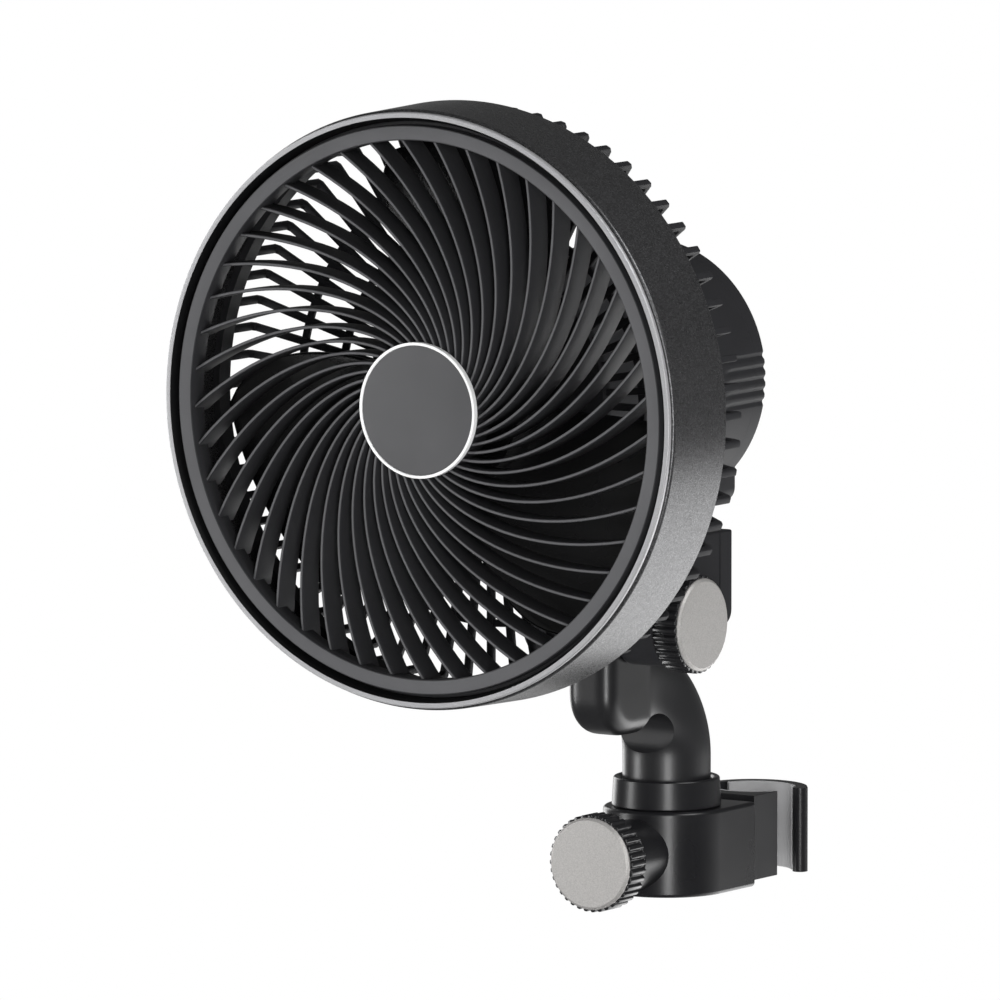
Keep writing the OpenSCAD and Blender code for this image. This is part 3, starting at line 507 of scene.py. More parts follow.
def cast(bm, cell, rounds):
    """Melts overlapping closed shapes into one skin and relaxes it, so joins get a moulding's fillets."""
    block = as_object(bm, "cast")
    skin = block.modifiers.new("skin", "REMESH")
    skin.mode = "VOXEL"
    skin.voxel_size = cell * MM
    relax = block.modifiers.new("relax", "SMOOTH")
    relax.factor = 0.5
    relax.iterations = rounds
    return applied(block)


# Fan head. Numbers in the operators are millimetres and degrees. Depths count back from the front face, and
# past is how far a cutter runs out of what it cuts.


class FAN_OT_band(bpy.types.Operator):
    """Builds the round band and its satin lip."""

    bl_idname = "clip_fan.band"
    bl_label = "Band and lip"

    segments = 256
    wall = 2.4
    taper = 0.8
    shell_front = 1.9
    shoulder = 0.7
    seat_gap = 0.1
    slope_width, slope_depth = 1.1, 2.6
    edge_width, edge_depth = 0.3, 0.4
    lip_ledge, lip_back = 1.5, 9
    # Painted shade takes the faces deeper than this or whose normals lean to the axis by this cosine
    lip_shade_depth = 1.2
    inward = -0.3

    def execute(self, context):
        head = sizes_head()
        r = head.band_radius / MM
        depth = head.band_depth / MM
        front = self.shell_front
        shell = head_spun([(r - self.wall, front), (r - self.taper - self.shoulder, front),
                           (r - self.taper, front + self.shoulder), (r, depth), (r - self.wall, depth)],
                          self.segments)
        soften(shell, 0.45, segments=3, sharper_than=25)
        # A dark grey that glitters like sand where the light falls on it
        paint = flaked_paint("gunmetal flake paint", colours().band, colours().flake, roughness=0.31,
                             flake_mm=0.32)
        piece("band_shell", shell, "head", paint, ["band"])

        lip_out = r - LIP_INSET
        lip_in = lip_out - head.lip_width / MM
        seat = r - self.wall - self.seat_gap
        lip = head_spun([(lip_in, self.slope_depth), (lip_in + self.slope_width, 0),
                         (lip_out - self.edge_width, 0), (lip_out, self.edge_depth),
                         (lip_out, self.lip_ledge), (seat, self.lip_ledge), (seat, self.lip_back),
                         (lip_in, self.lip_back)], self.segments)
        soften(lip, 0.12, segments=2, sharper_than=25)
        lip.normal_update()
        # Faces that lean to the axis or lie deep get index 1, the painted shade
        for face in lip.faces:
            middle = face.calc_center_median() - HEAD
            outward = face.normal.dot(Vector((middle.x, 0, middle.z)).normalized())
            face.material_index = int(outward < self.inward or middle.y > self.lip_shade_depth * MM)
        # A narrow soft shine on the lip's flat, and near black painted shade inside it
        satin = blasted_metal("satin anodised aluminium", colours().lip, roughness=0.36, grain_mm=0.3,
                              metallic=0.4)
        lip_shade = moulded("aluminium lip with painted shade", colours().lip_shade, roughness=0.45, grain_mm=0.5,
                          grain_height_mm=0.01, mirror=0.2)
        piece("front_lip", lip, "head", satin, ["bezel"], sides=lip_shade)
        return {"FINISHED"}


class FAN_OT_front_grille(bpy.types.Operator):
    """Builds the flat grey ring with its spiral fins."""

    bl_idname = "clip_fan.front_grille"
    bl_label = "Front grille"

    ring_front, ring_step, ring_back = 1.2, 5, 9
    ring_gap = 1.4
    seat_gap = 0.1
    fin_front = 3.5
    fin_turn = 43
    fin_steps = 30
    fin_root_lap, fin_end_lap = 1.5, 2.5
    hub_front, hub_back = 3.2, 11.5
    # Painted shade starts at this depth and on faces that look forward less squarely than this cosine
    shade_depth = 4.2
    facing = -0.95

    def fin(self, inner, outer):
        """One fin: a sheet that follows a spiral, thickened and with softened edges."""
        head = sizes_head()
        line = []
        for i in range(self.fin_steps + 1):
            r = inner * (outer / inner) ** (i / self.fin_steps)
            a = math.radians(self.fin_turn * math.log(r / inner))
            line.append(front_view(r * math.cos(a) * MM, r * math.sin(a) * MM, self.fin_front * MM))
        bm = wire(line, False)
        grown = bmesh.ops.extrude_edge_only(bm, edges=bm.edges[:])["geom"]
        bmesh.ops.translate(bm, verts=verts_of(grown), vec=ALONG_Y * head.fin_depth)
        return soften(thickened(bm, head.fin_thickness / MM), 0.24, segments=2, sharper_than=60)

    def mark_shaded_sides(self, bm):
        """Gives index 1, for painted shade, to the faces that don't look to the fan's front or that lie deep.
        """
        bm.normal_update()
        for face in bm.faces:
            depth = face.calc_center_median().y - HEAD.y
            face.material_index = int(face.normal.y > self.facing or depth > self.shade_depth * MM)
        return bm

    def execute(self, context):
        head = sizes_head()
        lip_in = head.band_radius / MM - LIP_INSET - head.lip_width / MM
        flat_out = lip_in - self.ring_gap
        flat_in = flat_out - head.flat_width / MM
        seat = lip_in - self.seat_gap
        badge = head.badge_radius / MM
        ring = head_spun([(flat_in, self.ring_front), (flat_out, self.ring_front), (flat_out, self.ring_step),
                          (seat, self.ring_step), (seat, self.ring_back), (flat_in, self.ring_back)], 256)
        soften(ring, 0.4, segments=2, sharper_than=25)
        fins = around(self.fin(badge - self.fin_root_lap, flat_in + self.fin_end_lap), head.fin_count)
        hub = drum(badge, self.hub_front, self.hub_back, HEAD, ALONG_Y, ALONG_X, 96)
        # Mid-grey on what looks forward and painted shade on fin sides, so each fin shows as a pale line
        front_grey = moulded("grey moulded grille nylon", colours().grille, roughness=0.6, grain_mm=0.5,
                       grain_height_mm=0.05, mirror=0.15)
        dark = moulded("grille nylon with painted shade", colours().grille_side_shade, roughness=0.5, grain_mm=0.5,
                       grain_height_mm=0.05, mirror=0.25)
        whole = self.mark_shaded_sides(joined(ring, fins, hub))
        piece("front_fins", whole, "head", front_grey, ["front_grille"], weighted=False, sides=dark)
        return {"FINISHED"}


class FAN_OT_badge(bpy.types.Operator):
    """Builds the badge plate and the bright ring round it."""

    bl_idname = "clip_fan.badge"
    bl_label = "Badge"

    segments = 128
    ring_front, ring_width = 1.2, 1
    plate_front, back = 1.5, 3.2
    plate_gap = 0.05
    crown, shoulder = 0.15, 0.1
    shoulder_share = 0.6

    def execute(self, context):
        r = sizes_head().badge_radius / MM
        plate_r = r - self.ring_width - self.plate_gap
        disc = head_spun([(0, self.plate_front - self.crown),
                          (plate_r * self.shoulder_share, self.plate_front - self.shoulder),
                          (plate_r, self.plate_front), (plate_r, self.back), (0, self.back)],
                         self.segments, False)
        soften(disc, 0.15)
        # A plain satin grey with a fine tooth
        grey = moulded("badge grey satin ABS", colours().badge, roughness=0.42, grain_mm=0.35,
                       grain_height_mm=0.03)
        piece("badge_disc", disc, "head", grey, ["badge_plate"])
        ring = hoop(r - self.ring_width, r, self.ring_front, self.back, self.segments)
        soften(ring, 0.2)
        # A clean bright line
        white = moulded("bright white moulded ABS", colours().badge_ring, roughness=0.3, grain_mm=0.5,
                        grain_height_mm=0.01)
        piece("badge_rim", ring, "head", white, ["badge_ring"])
        return {"FINISHED"}


class FAN_OT_rear_grille(bpy.types.Operator):
    """Builds the cage behind the band: bent bars, cross rings and the middle plate."""

    bl_idname = "clip_fan.rear_grille"
    bl_label = "Rear grille"

    inset = 2.6
    corner, inner_corner = 1.5, 0.8
    bar_root_lap, bar_end_lap = 2, 1
    skirt_lap, skirt_rise = 6, 0.6
    ring_places = (14, 30)
    ring_half, ring_thickness = 1.2, 2
    back_gap = 0.1
    plate_front, plate_bore, plate_lap = 43.5, 9.1, 1

    def bar(self, outer, inner, start):
        """One bar: straight back from the band, then square inward to the middle plate."""
        depth = sizes_head().bar_depth / MM
        half = sizes_head().bar_thickness / MM / 2
        front = CAGE_BACK - depth
        outline = [(outer, start), (outer, CAGE_BACK - self.corner), (outer - self.corner, CAGE_BACK),
                   (inner, CAGE_BACK), (inner, front), (outer - depth - self.inner_corner, front),
                   (outer - depth, front - self.inner_corner), (outer - depth, start)]
        return soften(plate(outline, -half, half, head_plan), 0.4, segments=2, sharper_than=60)

    def execute(self, context):
        head = sizes_head()
        outer = head.band_radius / MM - self.inset
        barrel = head.barrel_radius / MM
        depth = head.band_depth / MM
        bars = around(self.bar(outer, barrel - self.bar_root_lap, depth - self.bar_end_lap), head.bar_count)
        skirt = hoop(outer - head.bar_depth / MM, outer, depth - self.skirt_lap, depth + self.skirt_rise)
        back = CAGE_BACK - self.back_gap
        rings = []
        for place in self.ring_places:
            middle = barrel + place
            ring = hoop(middle - self.ring_half, middle + self.ring_half,
                        CAGE_BACK - self.ring_thickness, back)
            rings.append(soften(ring, 0.3))
        centre = hoop(self.plate_bore, barrel + self.plate_lap, self.plate_front, back)
        # Matte, so the cage stays dark and only its edges catch a soft light
        black = moulded("matte black moulded ABS", colours().shell, roughness=0.55, grain_mm=0.6,
                        grain_height_mm=0.06, mirror=0.1)
        piece("rear_cage", joined(bars, skirt, *rings, centre), "head", black, ["rear_grille"],
              weighted=False)
        return {"FINISHED"}


class FAN_OT_impeller(bpy.types.Operator):
    """Builds the hub and its wide blades."""

    bl_idname = "clip_fan.impeller"
    bl_label = "Impeller"

    middle_depth = 28.5
    start_angle, sweep = 77, 10
    root_lap = 1
    root_width, narrowing = 84, 22
    tip_rounding, tip_power = 14, 8
    root_rise, rise_loss = 15, 3
    crown = 1.5
    thickness = 1.8
    hub_front, web_back, hub_back = 19.5, 23, 38
    hub_wall, hub_bore = 2.4, 2.6

    def blade(self):
        """One blade: a grid bent into a twisted sheet, thickened and rounded at its edges."""
        head = sizes_head()
        root = head.hub_radius / MM - self.root_lap
        tip = head.blade_radius / MM
        bm = bmesh.new()
        bmesh.ops.create_grid(bm, x_segments=26, y_segments=22, size=0.5)
        for vert in bm.verts:
            across, out = vert.co.x, vert.co.y + 0.5
            r = (root + (tip - root) * out) * MM
            width = self.root_width - self.narrowing * out - self.tip_rounding * out ** self.tip_power
            rise = self.root_rise - self.rise_loss * out
            angle = math.radians(self.start_angle + self.sweep * out + width * across)
            depth = self.middle_depth + rise * across + self.crown * math.cos(math.pi * across)
            vert.co = front_view(r * math.cos(angle), r * math.sin(angle), (depth - self.thickness / 2) * MM)
        return soften(thickened(bm, self.thickness), 0.7, segments=3, sharper_than=50)

    def execute(self, context):
        head = sizes_head()
        r = head.hub_radius / MM
        bowl = r - self.hub_wall
        hub = head_spun([(self.hub_bore, self.hub_front), (r, self.hub_front), (r, self.hub_back),
                         (bowl, self.hub_back), (bowl, self.web_back), (self.hub_bore, self.web_back)], 128)
        soften(hub, 1.2, segments=4)
        blades = around(self.blade(), head.blade_count)
        # Polished black, whose broad dim reflections show the blades' curve behind the fins
        black = moulded("gloss black moulded ABS", colours().blade, roughness=0.26, grain_mm=0.8,
                        grain_height_mm=0.015)
        piece("impeller_blades", joined(hub, blades), "rotor", black, ["impeller"],
              weighted=False)
        return {"FINISHED"}


class FAN_OT_barrel(bpy.types.Operator):
    """Builds the motor and battery barrel with its foot and grooves, the rear cap and the power button."""

    bl_idname = "clip_fan.barrel"
    bl_label = "Barrel"

    seam, back = 141, 148
    seam_gap = 0.05
    foot_corner = 5
    side_steps, top_steps, groove_steps = 10, 60, 3
    groove_pitch, groove_half, groove_floor = 3.9, 1.5, 0.7
    groove_start, groove_fade = 126, 5
    groove_reach = 40
    cap_round = 4.5
    past = 2
    button_radius, button_room, button_well = 9, 0.25, 2
    button_rise = 3.5
    dish_radius, dish_rim, dish_floor = 5, 2.9, 2.6
    screw_angles = (40, 140, 220, 320)
    screw_spread, screw_radius, screw_well = 35, 3, 2.4
    inlet_half, inlet_radius, inlet_drop, inlet_well = 3, 2.2, 32.4, 6

    def groove_heights(self):
        """Heights of the grip grooves over the fan's axis."""
        count = sizes_head().groove_count
        return [(i - (count - 1) / 2) * self.groove_pitch for i in range(count)]

    def outline(self, inset=0):
        """The barrel's cross-section: a circle that runs into a flat foot with rounded corners. It has points
        at even steps across each grip groove."""
        head = sizes_head()
        r = head.barrel_radius / MM - inset
        half = head.foot_width / MM / 2 - inset
        drop = head.foot_drop / MM - inset
        meet = math.degrees(math.asin(math.sqrt(r * r - half * half) / r))
        corner = self.foot_corner
        marks = []
        for height in self.groove_heights():
            for step in range(-self.groove_steps, self.groove_steps + 1):
                level = height + self.groove_half * step / self.groove_steps
                marks.append(math.degrees(math.asin(level / r)))
        first, last = marks[0], marks[-1]
        right = [-meet + i * (first + meet) / self.side_steps for i in range(self.side_steps)] + marks
        top = [last + i * (180 - 2 * last) / self.top_steps for i in range(1, self.top_steps)]
        left = [180 - a for a in reversed(right)]
        points = [(r * math.cos(math.radians(a)), r * math.sin(math.radians(a))) for a in right + top + left]
        points += arc((corner - half, corner - drop), corner, 180, 270, 8)
        points += arc((half - corner, corner - drop), corner, 270, 360, 8)
        return points

    def waved(self, points):
        """The outline with its grip grooves, which dip and rise softly."""
        heights = self.groove_heights()
        result = []
        for u, v in points:
            off = min(abs(v - height) for height in heights) / self.groove_half
            dip = 0
            if off < 1 and abs(u) > self.groove_reach:
                dip = self.groove_floor * (1 + math.cos(math.pi * off)) / 2
            scale = 1 - dip / math.hypot(u, v)
            result.append((u * scale, v * scale))
        return result

    def wells(self):
        """What is sunk into the rear cap: the button's well, the screws' wells and the charging inlet."""
        rear = HEAD + ALONG_Y * (self.back * MM)
        cutters = [drum(self.button_radius + self.button_room, -self.button_well, self.past, rear, ALONG_Y,
                        ALONG_X, 96)]
        for angle in self.screw_angles:
            spot = rear + Matrix.Rotation(-math.radians(angle), 3, "Y") @ (ALONG_X * (self.screw_spread * MM))
            cutters.append(drum(self.screw_radius, -self.screw_well, self.past, spot, ALONG_Y, ALONG_X, 32))
        inlet = arc((self.inlet_half, -self.inlet_drop), self.inlet_radius, -90, 90, 10)
        inlet += arc((-self.inlet_half, -self.inlet_drop), self.inlet_radius, 90, 270, 10)
        cutters.append(plate(inlet, self.back - self.inlet_well, self.back + self.past, front_view))
        return cutters

    def execute(self, context):
        plain = self.outline()
        waves = self.waved(plain)
        stations = ((CAGE_BACK, plain), (self.groove_start - self.groove_fade, plain),
                    (self.groove_start, waves), (self.seam - self.seam_gap, waves))
        barrel = swept([[front_view(u * MM, v * MM, depth * MM) for u, v in ring]
                        for depth, ring in stations])
        soften(barrel, 0.12, segments=2, sharper_than=60)
        # Matte with a fine grain, so the barrel reads as a soft dark gradient
        black = moulded("matte black moulded ABS shell", colours().shell, roughness=0.55, grain_mm=0.55,
                        grain_height_mm=0.06, mirror=0.15)
        piece("barrel_shell", barrel, "head", black, ["motor_housing"], smooth_angle=30)

        rim = self.waved(self.outline(self.seam_gap))
        cap = plate(rim, self.seam, self.back, front_view)
        rear_y = HEAD.y + self.back * MM
        rear = [e for e in cap.edges if all(abs(v.co.y - rear_y) < NEAR for v in e.verts)]
        round_edges(cap, rear, self.cap_round, 8)
        piece("barrel_cap", carve(cap, self.wells()), "head", black, ["rear_cap"],
              smooth_angle=30)

        seat = HEAD + ALONG_Y * ((self.back - self.button_well) * MM)
        button = spun([(0, self.dish_floor), (self.dish_radius, self.dish_rim),
                       (self.button_radius, self.button_rise), (self.button_radius, 0), (0, 0)],
                      seat, ALONG_Y, ALONG_X, 96, False)
        soften(button, 0.5, segments=3, sharper_than=50)
        # A speckled satin grey that stands out from the black cap
        grey = blasted_metal("button satin grey ABS", shaded(colours().lip, 0.5), roughness=0.4,
                             grain_mm=0.4, metallic=0.0)
        piece("button_top", button, "power_button", grey, ["power_button"])
        return {"FINISHED"}


# Yoke, knobs and arm. Places are in millimetres along Y and Z.


class FAN_OT_yoke(bpy.types.Operator):
    """Builds the yoke that carries the barrel and turns on the arm."""

    bl_idname = "clip_fan.yoke"
    bl_label = "Yoke"

    front, back = -107, -56
    low, roof, top = 78, 97.5, 110
    rear_corner = 5
    seam_front, seam_rear, seam_depth = -64.3, -63.7, 0.35
    past = 1
    boss_radius, boss_bore, boss_start = 15, 4.2, 10.25
    boss_gap = 0.03
    socket_radius, socket_depth = 7.7, 6
    neck_half, neck_front, neck_rear, neck_low = 12, -104, -80, 109

    def bolt_socket(self, half):
        """The hexagon that is sunk into the left cheek for the tilt bolt's head."""
        return drum(self.socket_radius, -half - self.past, self.socket_depth - half,
                    TILT, ALONG_X, ALONG_Z, 6)

    def execute(self, context):
        stand = sizes_stand()
        half = stand.yoke_width / MM / 2
        inner = half - stand.cheek_thickness / MM
        outline = [(-half, self.low), (-half, self.top), (half, self.top), (half, self.low),
                   (inner, self.low), (inner, self.roof), (-inner, self.roof), (-inner, self.low)]
        shell = plate(outline, self.front, self.back, end_view)
        corners = [e for e in shell.edges if all(abs(v.co.z - self.low * MM) < NEAR
                                                 and abs(v.co.y - self.back * MM) < NEAR for v in e.verts)]
        round_edges(shell, corners, self.rear_corner, 8)
        soften(shell, 0.7, segments=3)
        seam = box((half - self.seam_depth, self.seam_front, self.low - self.past),
                   (half + self.past, self.seam_rear, self.top + self.past))
        shell = carve(shell, [seam, self.bolt_socket(half)])
        bosses = []
        for side in (-1, 1):
            end = half - self.boss_gap
            boss = spun([(self.boss_bore, self.boss_start), (self.boss_radius, self.boss_start),
                         (self.boss_radius, end), (self.boss_bore, end)], TILT, ALONG_X * side, ALONG_Z, 96)
            bosses.append(soften(boss, 0.6, segments=3))
        left = carve(bosses[0], [self.bolt_socket(half)])
        neck = box((-self.neck_half, self.neck_front, self.neck_low),
                   (self.neck_half, self.neck_rear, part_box("yoke")[1].z / MM))
        soften(neck, 2, segments=4)
        # The barrel's matte black, a little smoother on these flat sides
        black = moulded("matte black moulded ABS yoke", colours().shell, roughness=0.5, grain_mm=0.5,
                        grain_height_mm=0.05, mirror=0.05)
        piece("yoke_shell", joined(shell, left, bosses[1], neck), "head", black, ["yoke"])
        return {"FINISHED"}


class FAN_OT_knobs(bpy.types.Operator):
    """Builds the tilt knob and the clamp knob with their metal caps."""

    bl_idname = "clip_fan.knobs"
    bl_label = "Knobs"

    # Shares of one ridge's turn
    crest_end, valley_start, valley_end = 0.42, 0.6, 0.82
    ridge_depth = 0.95
    cap_inset = 0.9
    chamfer_width, chamfer_depth = 0.9, 0.8
    tilt_gap = 0.8

    def grip(self, centre, axis):
        """A knob from its back at the centre: rounded ridges round a drum with softened ends."""
        stand = sizes_stand()
        crest = stand.knob_radius / MM
        valley = crest - self.ridge_depth
        ridge = ((0, crest), (self.crest_end, crest), (self.valley_start, valley), (self.valley_end, valley))
        outline = []
        for i in range(stand.knob_ridges):
            for share, r in ridge:
                a = FULL_TURN * (i + share) / stand.knob_ridges
                outline.append((r * math.cos(a), r * math.sin(a)))
        other = axis.cross(ALONG_Z)
        bm = plate(outline, 0, stand.knob_thickness / MM,
                   lambda u, v, height: centre + ALONG_Z * u + other * v + axis * height)
        return soften(bm, 0.35, segments=2, sharper_than=30)

    def cap(self, centre, axis):
        """The metal cap on a knob: a flat face with a bright chamfer."""
        stand = sizes_stand()
        r = stand.knob_radius / MM - self.cap_inset
        top = stand.cap_thickness / MM
        bm = spun([(0, top), (r - self.chamfer_width, top), (r, top - self.chamfer_depth), (r, 0), (0, 0)],
                  centre, axis, ALONG_Z, 128, False)
        return soften(bm, 0.18, segments=2, sharper_than=25)

    def execute(self, context):
        stand = sizes_stand()
        # Satin black, crisp enough for a light line on each ridge
        nylon = moulded("satin black knob nylon", colours().nylon, roughness=0.27, grain_mm=0.6,
                        grain_height_mm=0.02, mirror=0.6)
        # An even pale silver with a fine speckle
        metal = blasted_metal("bead-blasted aluminium", colours().cap, roughness=0.52, grain_mm=0.45,
                              metallic=0.5)
        tilt_back = TILT + ALONG_X * (stand.yoke_width / 2 + self.tilt_gap * MM)
        clamp_back = Vector((0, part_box("clamp_knob")[1].y, 0))
        for label, centre, axis in (("tilt_knob", tilt_back, ALONG_X), ("clamp_knob", clamp_back, -ALONG_Y)):
            piece(label + "_grip", self.grip(centre, axis), label, nylon, [label],
                  smooth_angle=50, weighted=False)
            face = self.cap(centre + axis * stand.knob_thickness, axis)
            piece(label + "_face", face, label, metal, [label + "_cap"])
        return {"FINISHED"}


class FAN_OT_arm(bpy.types.Operator):
    """Builds the S-shaped arm: a round post that bends forward and flattens into the tilt eye."""

    bl_idname = "clip_fan.arm"
    bl_label = "Arm"

    bend_start = 32
    foot = 17.4
    sides, steps = 72, 36
    squareness = 0.45
    column_round = 5.5
    hollow_radius, hollow_y, hollow_z, hollow_half = 8.5, -77, 40, 30
    cell, rounds = 0.55, 24

    def bend(self):
        """The post and its bend: rings that lean forward and grow flatter and squarer."""
        stand = sizes_stand()
        elbow_y = POST.y - stand.bend_radius
        post = stand.post_radius
        angles = [FULL_TURN * k / self.sides for k in range(self.sides)]
        rings = [[Vector((post * math.sin(t), POST.y + post * math.cos(t), self.foot * MM)) for t in angles]]
        for step in range(self.steps + 1):
            turn = step / self.steps
            lean = math.pi / 2 * turn
            flat = turn * turn * (3 - 2 * turn)
            wide = post + (stand.eye_thickness / 2 - post) * flat
            tall = post + (stand.eye_radius - post) * flat
            power = 1 - self.squareness * flat
            ring = []
            for t in angles:
                side = wide * math.copysign(abs(math.sin(t)) ** power, math.sin(t))
                out = stand.bend_radius + tall * math.copysign(abs(math.cos(t)) ** power, math.cos(t))
                ring.append(Vector((side, elbow_y + out * math.cos(lean),
                                    self.bend_start * MM + out * math.sin(lean))))
            rings.append(ring)
        return swept(rings)

    def column(self):
        """The flat upright plate with the eye at its top and well rounded edges."""
        stand = sizes_stand()
        r = stand.eye_radius / MM
        half = stand.eye_thickness / MM / 2
        eye_y, eye_z = TILT.y / MM, TILT.z / MM
        elbow_z = self.bend_start + stand.bend_radius / MM
        outline = arc((eye_y, eye_z), r, 0, 180, 40)
        outline += arc((eye_y, elbow_z), r, 180, 270, 20)
        outline += [(eye_y + r, elbow_z - r)]
        return soften(plate(outline, -half, half, side_view), self.column_round, segments=10, sharper_than=50)

    def execute(self, context):
        hollow = drum(self.hollow_radius, -self.hollow_half, self.hollow_half,
                      Vector((0, self.hollow_y * MM, self.hollow_z * MM)), ALONG_X, ALONG_Z, 64)
        body = carve(cast(joined(self.bend(), self.column()), self.cell, self.rounds), [hollow])
        # Satin black with soft, wide lights along its curves
        nylon = moulded("satin black moulded nylon", colours().nylon, roughness=0.34, grain_mm=0.7,
                        grain_height_mm=0.02, mirror=0.6)
        piece("arm_body", body, "arm", nylon, ["arm"], smooth_angle=35, weighted=False)
        return {"FINISHED"}


# Clamp. Places are in millimetres from the pole's axis.


class FAN_OT_base(bpy.types.Operator):
    """Builds the base block with its nose, the swivel collar and the clamp screw."""

    bl_idname = "clip_fan.base"
    bl_label = "Base"

    half_width = 21.5
    rear = -33
    nose_radius, nose_length = 12, 18
    rod_across, rod_bore_radius, rod_bore_front = 10, 2.55, -68
    screw_bore_radius = 4.4
    insert_radius, insert_length = 6.5, 20
    past = 1
    collar_bore, collar_height, collar_taper = 15.35, 10, 0.6
    funnel_width, funnel_depth = 1.25, 1.2
    screw_radius, root_radius, tip_radius = 4, 3.35, 3
    screw_shoulder = 81
    thread_start, thread_pitch, thread_turns = 4, 2, 36
    # Places along one turn of the thread, with 1 where it is cut to the root
    groove = ((0.3, 0), (0.9, 1), (1.2, 1), (1.8, 0))

    def bores(self, front):
        """Cutters for the guide rods, the clamp screw and its insert, made anew for each shape."""
        rear = self.rear + self.past
        cutters = [bore(self.rod_bore_radius, across, self.rod_bore_front, rear)
                   for across in (-self.rod_across, self.rod_across)]
        cutters.append(bore(self.screw_bore_radius, 0, front - self.past, rear))
        cutters.append(bore(self.insert_radius, 0, front - self.past, front + self.insert_length))
        return cutters

    def thread(self):
        """The clamp screw: grooves at the thread's pitch and a slimmer tip."""
        low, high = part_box("clamp_screw")
        end = (high.y - low.y) / MM
        profile = [(0, 0), (self.screw_radius, 0)]
        for turn in range(self.thread_turns):
            start = self.thread_start + self.thread_pitch * turn
            for along, cut in self.groove:
                profile.append((self.root_radius if cut else self.screw_radius, start + along))
        profile += [(self.screw_radius, self.screw_shoulder), (self.tip_radius, self.screw_shoulder),
                    (self.tip_radius, end), (0, end)]
        return spun(profile, Vector((0, low.y, 0)), ALONG_Y, ALONG_Z, 48, False)

    def execute(self, context):
        stand = sizes_stand()
        half = stand.clamp_height / MM / 2
        post = POST.y / MM
        bed = (stand.pole_radius + stand.pad_thickness) / MM
        outline = [(-bed, self.rear), (-bed, HOOK_BED_FRONT), (-self.half_width, HOOK_BED_FRONT),
                   (-self.half_width, post)]
        outline += arc((0, post), self.half_width, 180, 360, 64)[1:]
        outline += [(self.half_width, self.rear)]
        block = soften(plate(outline, -half, half, flat_plan), 1.3, segments=4)
        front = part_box("base_block")[0].y
        nose = drum(self.nose_radius, 0, self.nose_length, Vector((0, front, 0)), ALONG_Y, ALONG_Z, 96)
        soften(nose, 0.8, segments=3)
        body = joined(*[carve(shape, self.bores(front / MM)) for shape in (block, nose)])
        # The arm's satin black, a little calmer on the block's flat sides
        nylon = moulded("satin black moulded nylon base", colours().nylon, roughness=0.28, grain_mm=0.7,
                        grain_height_mm=0.02, mirror=0.35)
        piece("base_body", body, "clamp_base", nylon, ["base_block"])

        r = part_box("swivel_collar")[1].x / MM
        height = self.collar_height
        collar = spun([(self.collar_bore, 0), (r, 0), (r - self.collar_taper, height),
                       (self.collar_bore + self.funnel_width, height),
                       (self.collar_bore, height - self.funnel_depth)],
                      Vector((0, POST.y, half * MM)), ALONG_Z, ALONG_X, 128)
        soften(collar, 0.9, segments=4)
        piece("collar_ring", collar, "clamp_base", nylon, ["swivel_collar"])

        # A cool bright grey with fine tool lines
        zinc = turned_metal("zinc-plated steel thread", linear("#b4b5b8"), roughness=0.32, line_mm=0.4)
        piece("screw_thread", self.thread(), "clamp_knob", zinc, ["clamp_screw"], smooth_angle=30)
        return {"FINISHED"}


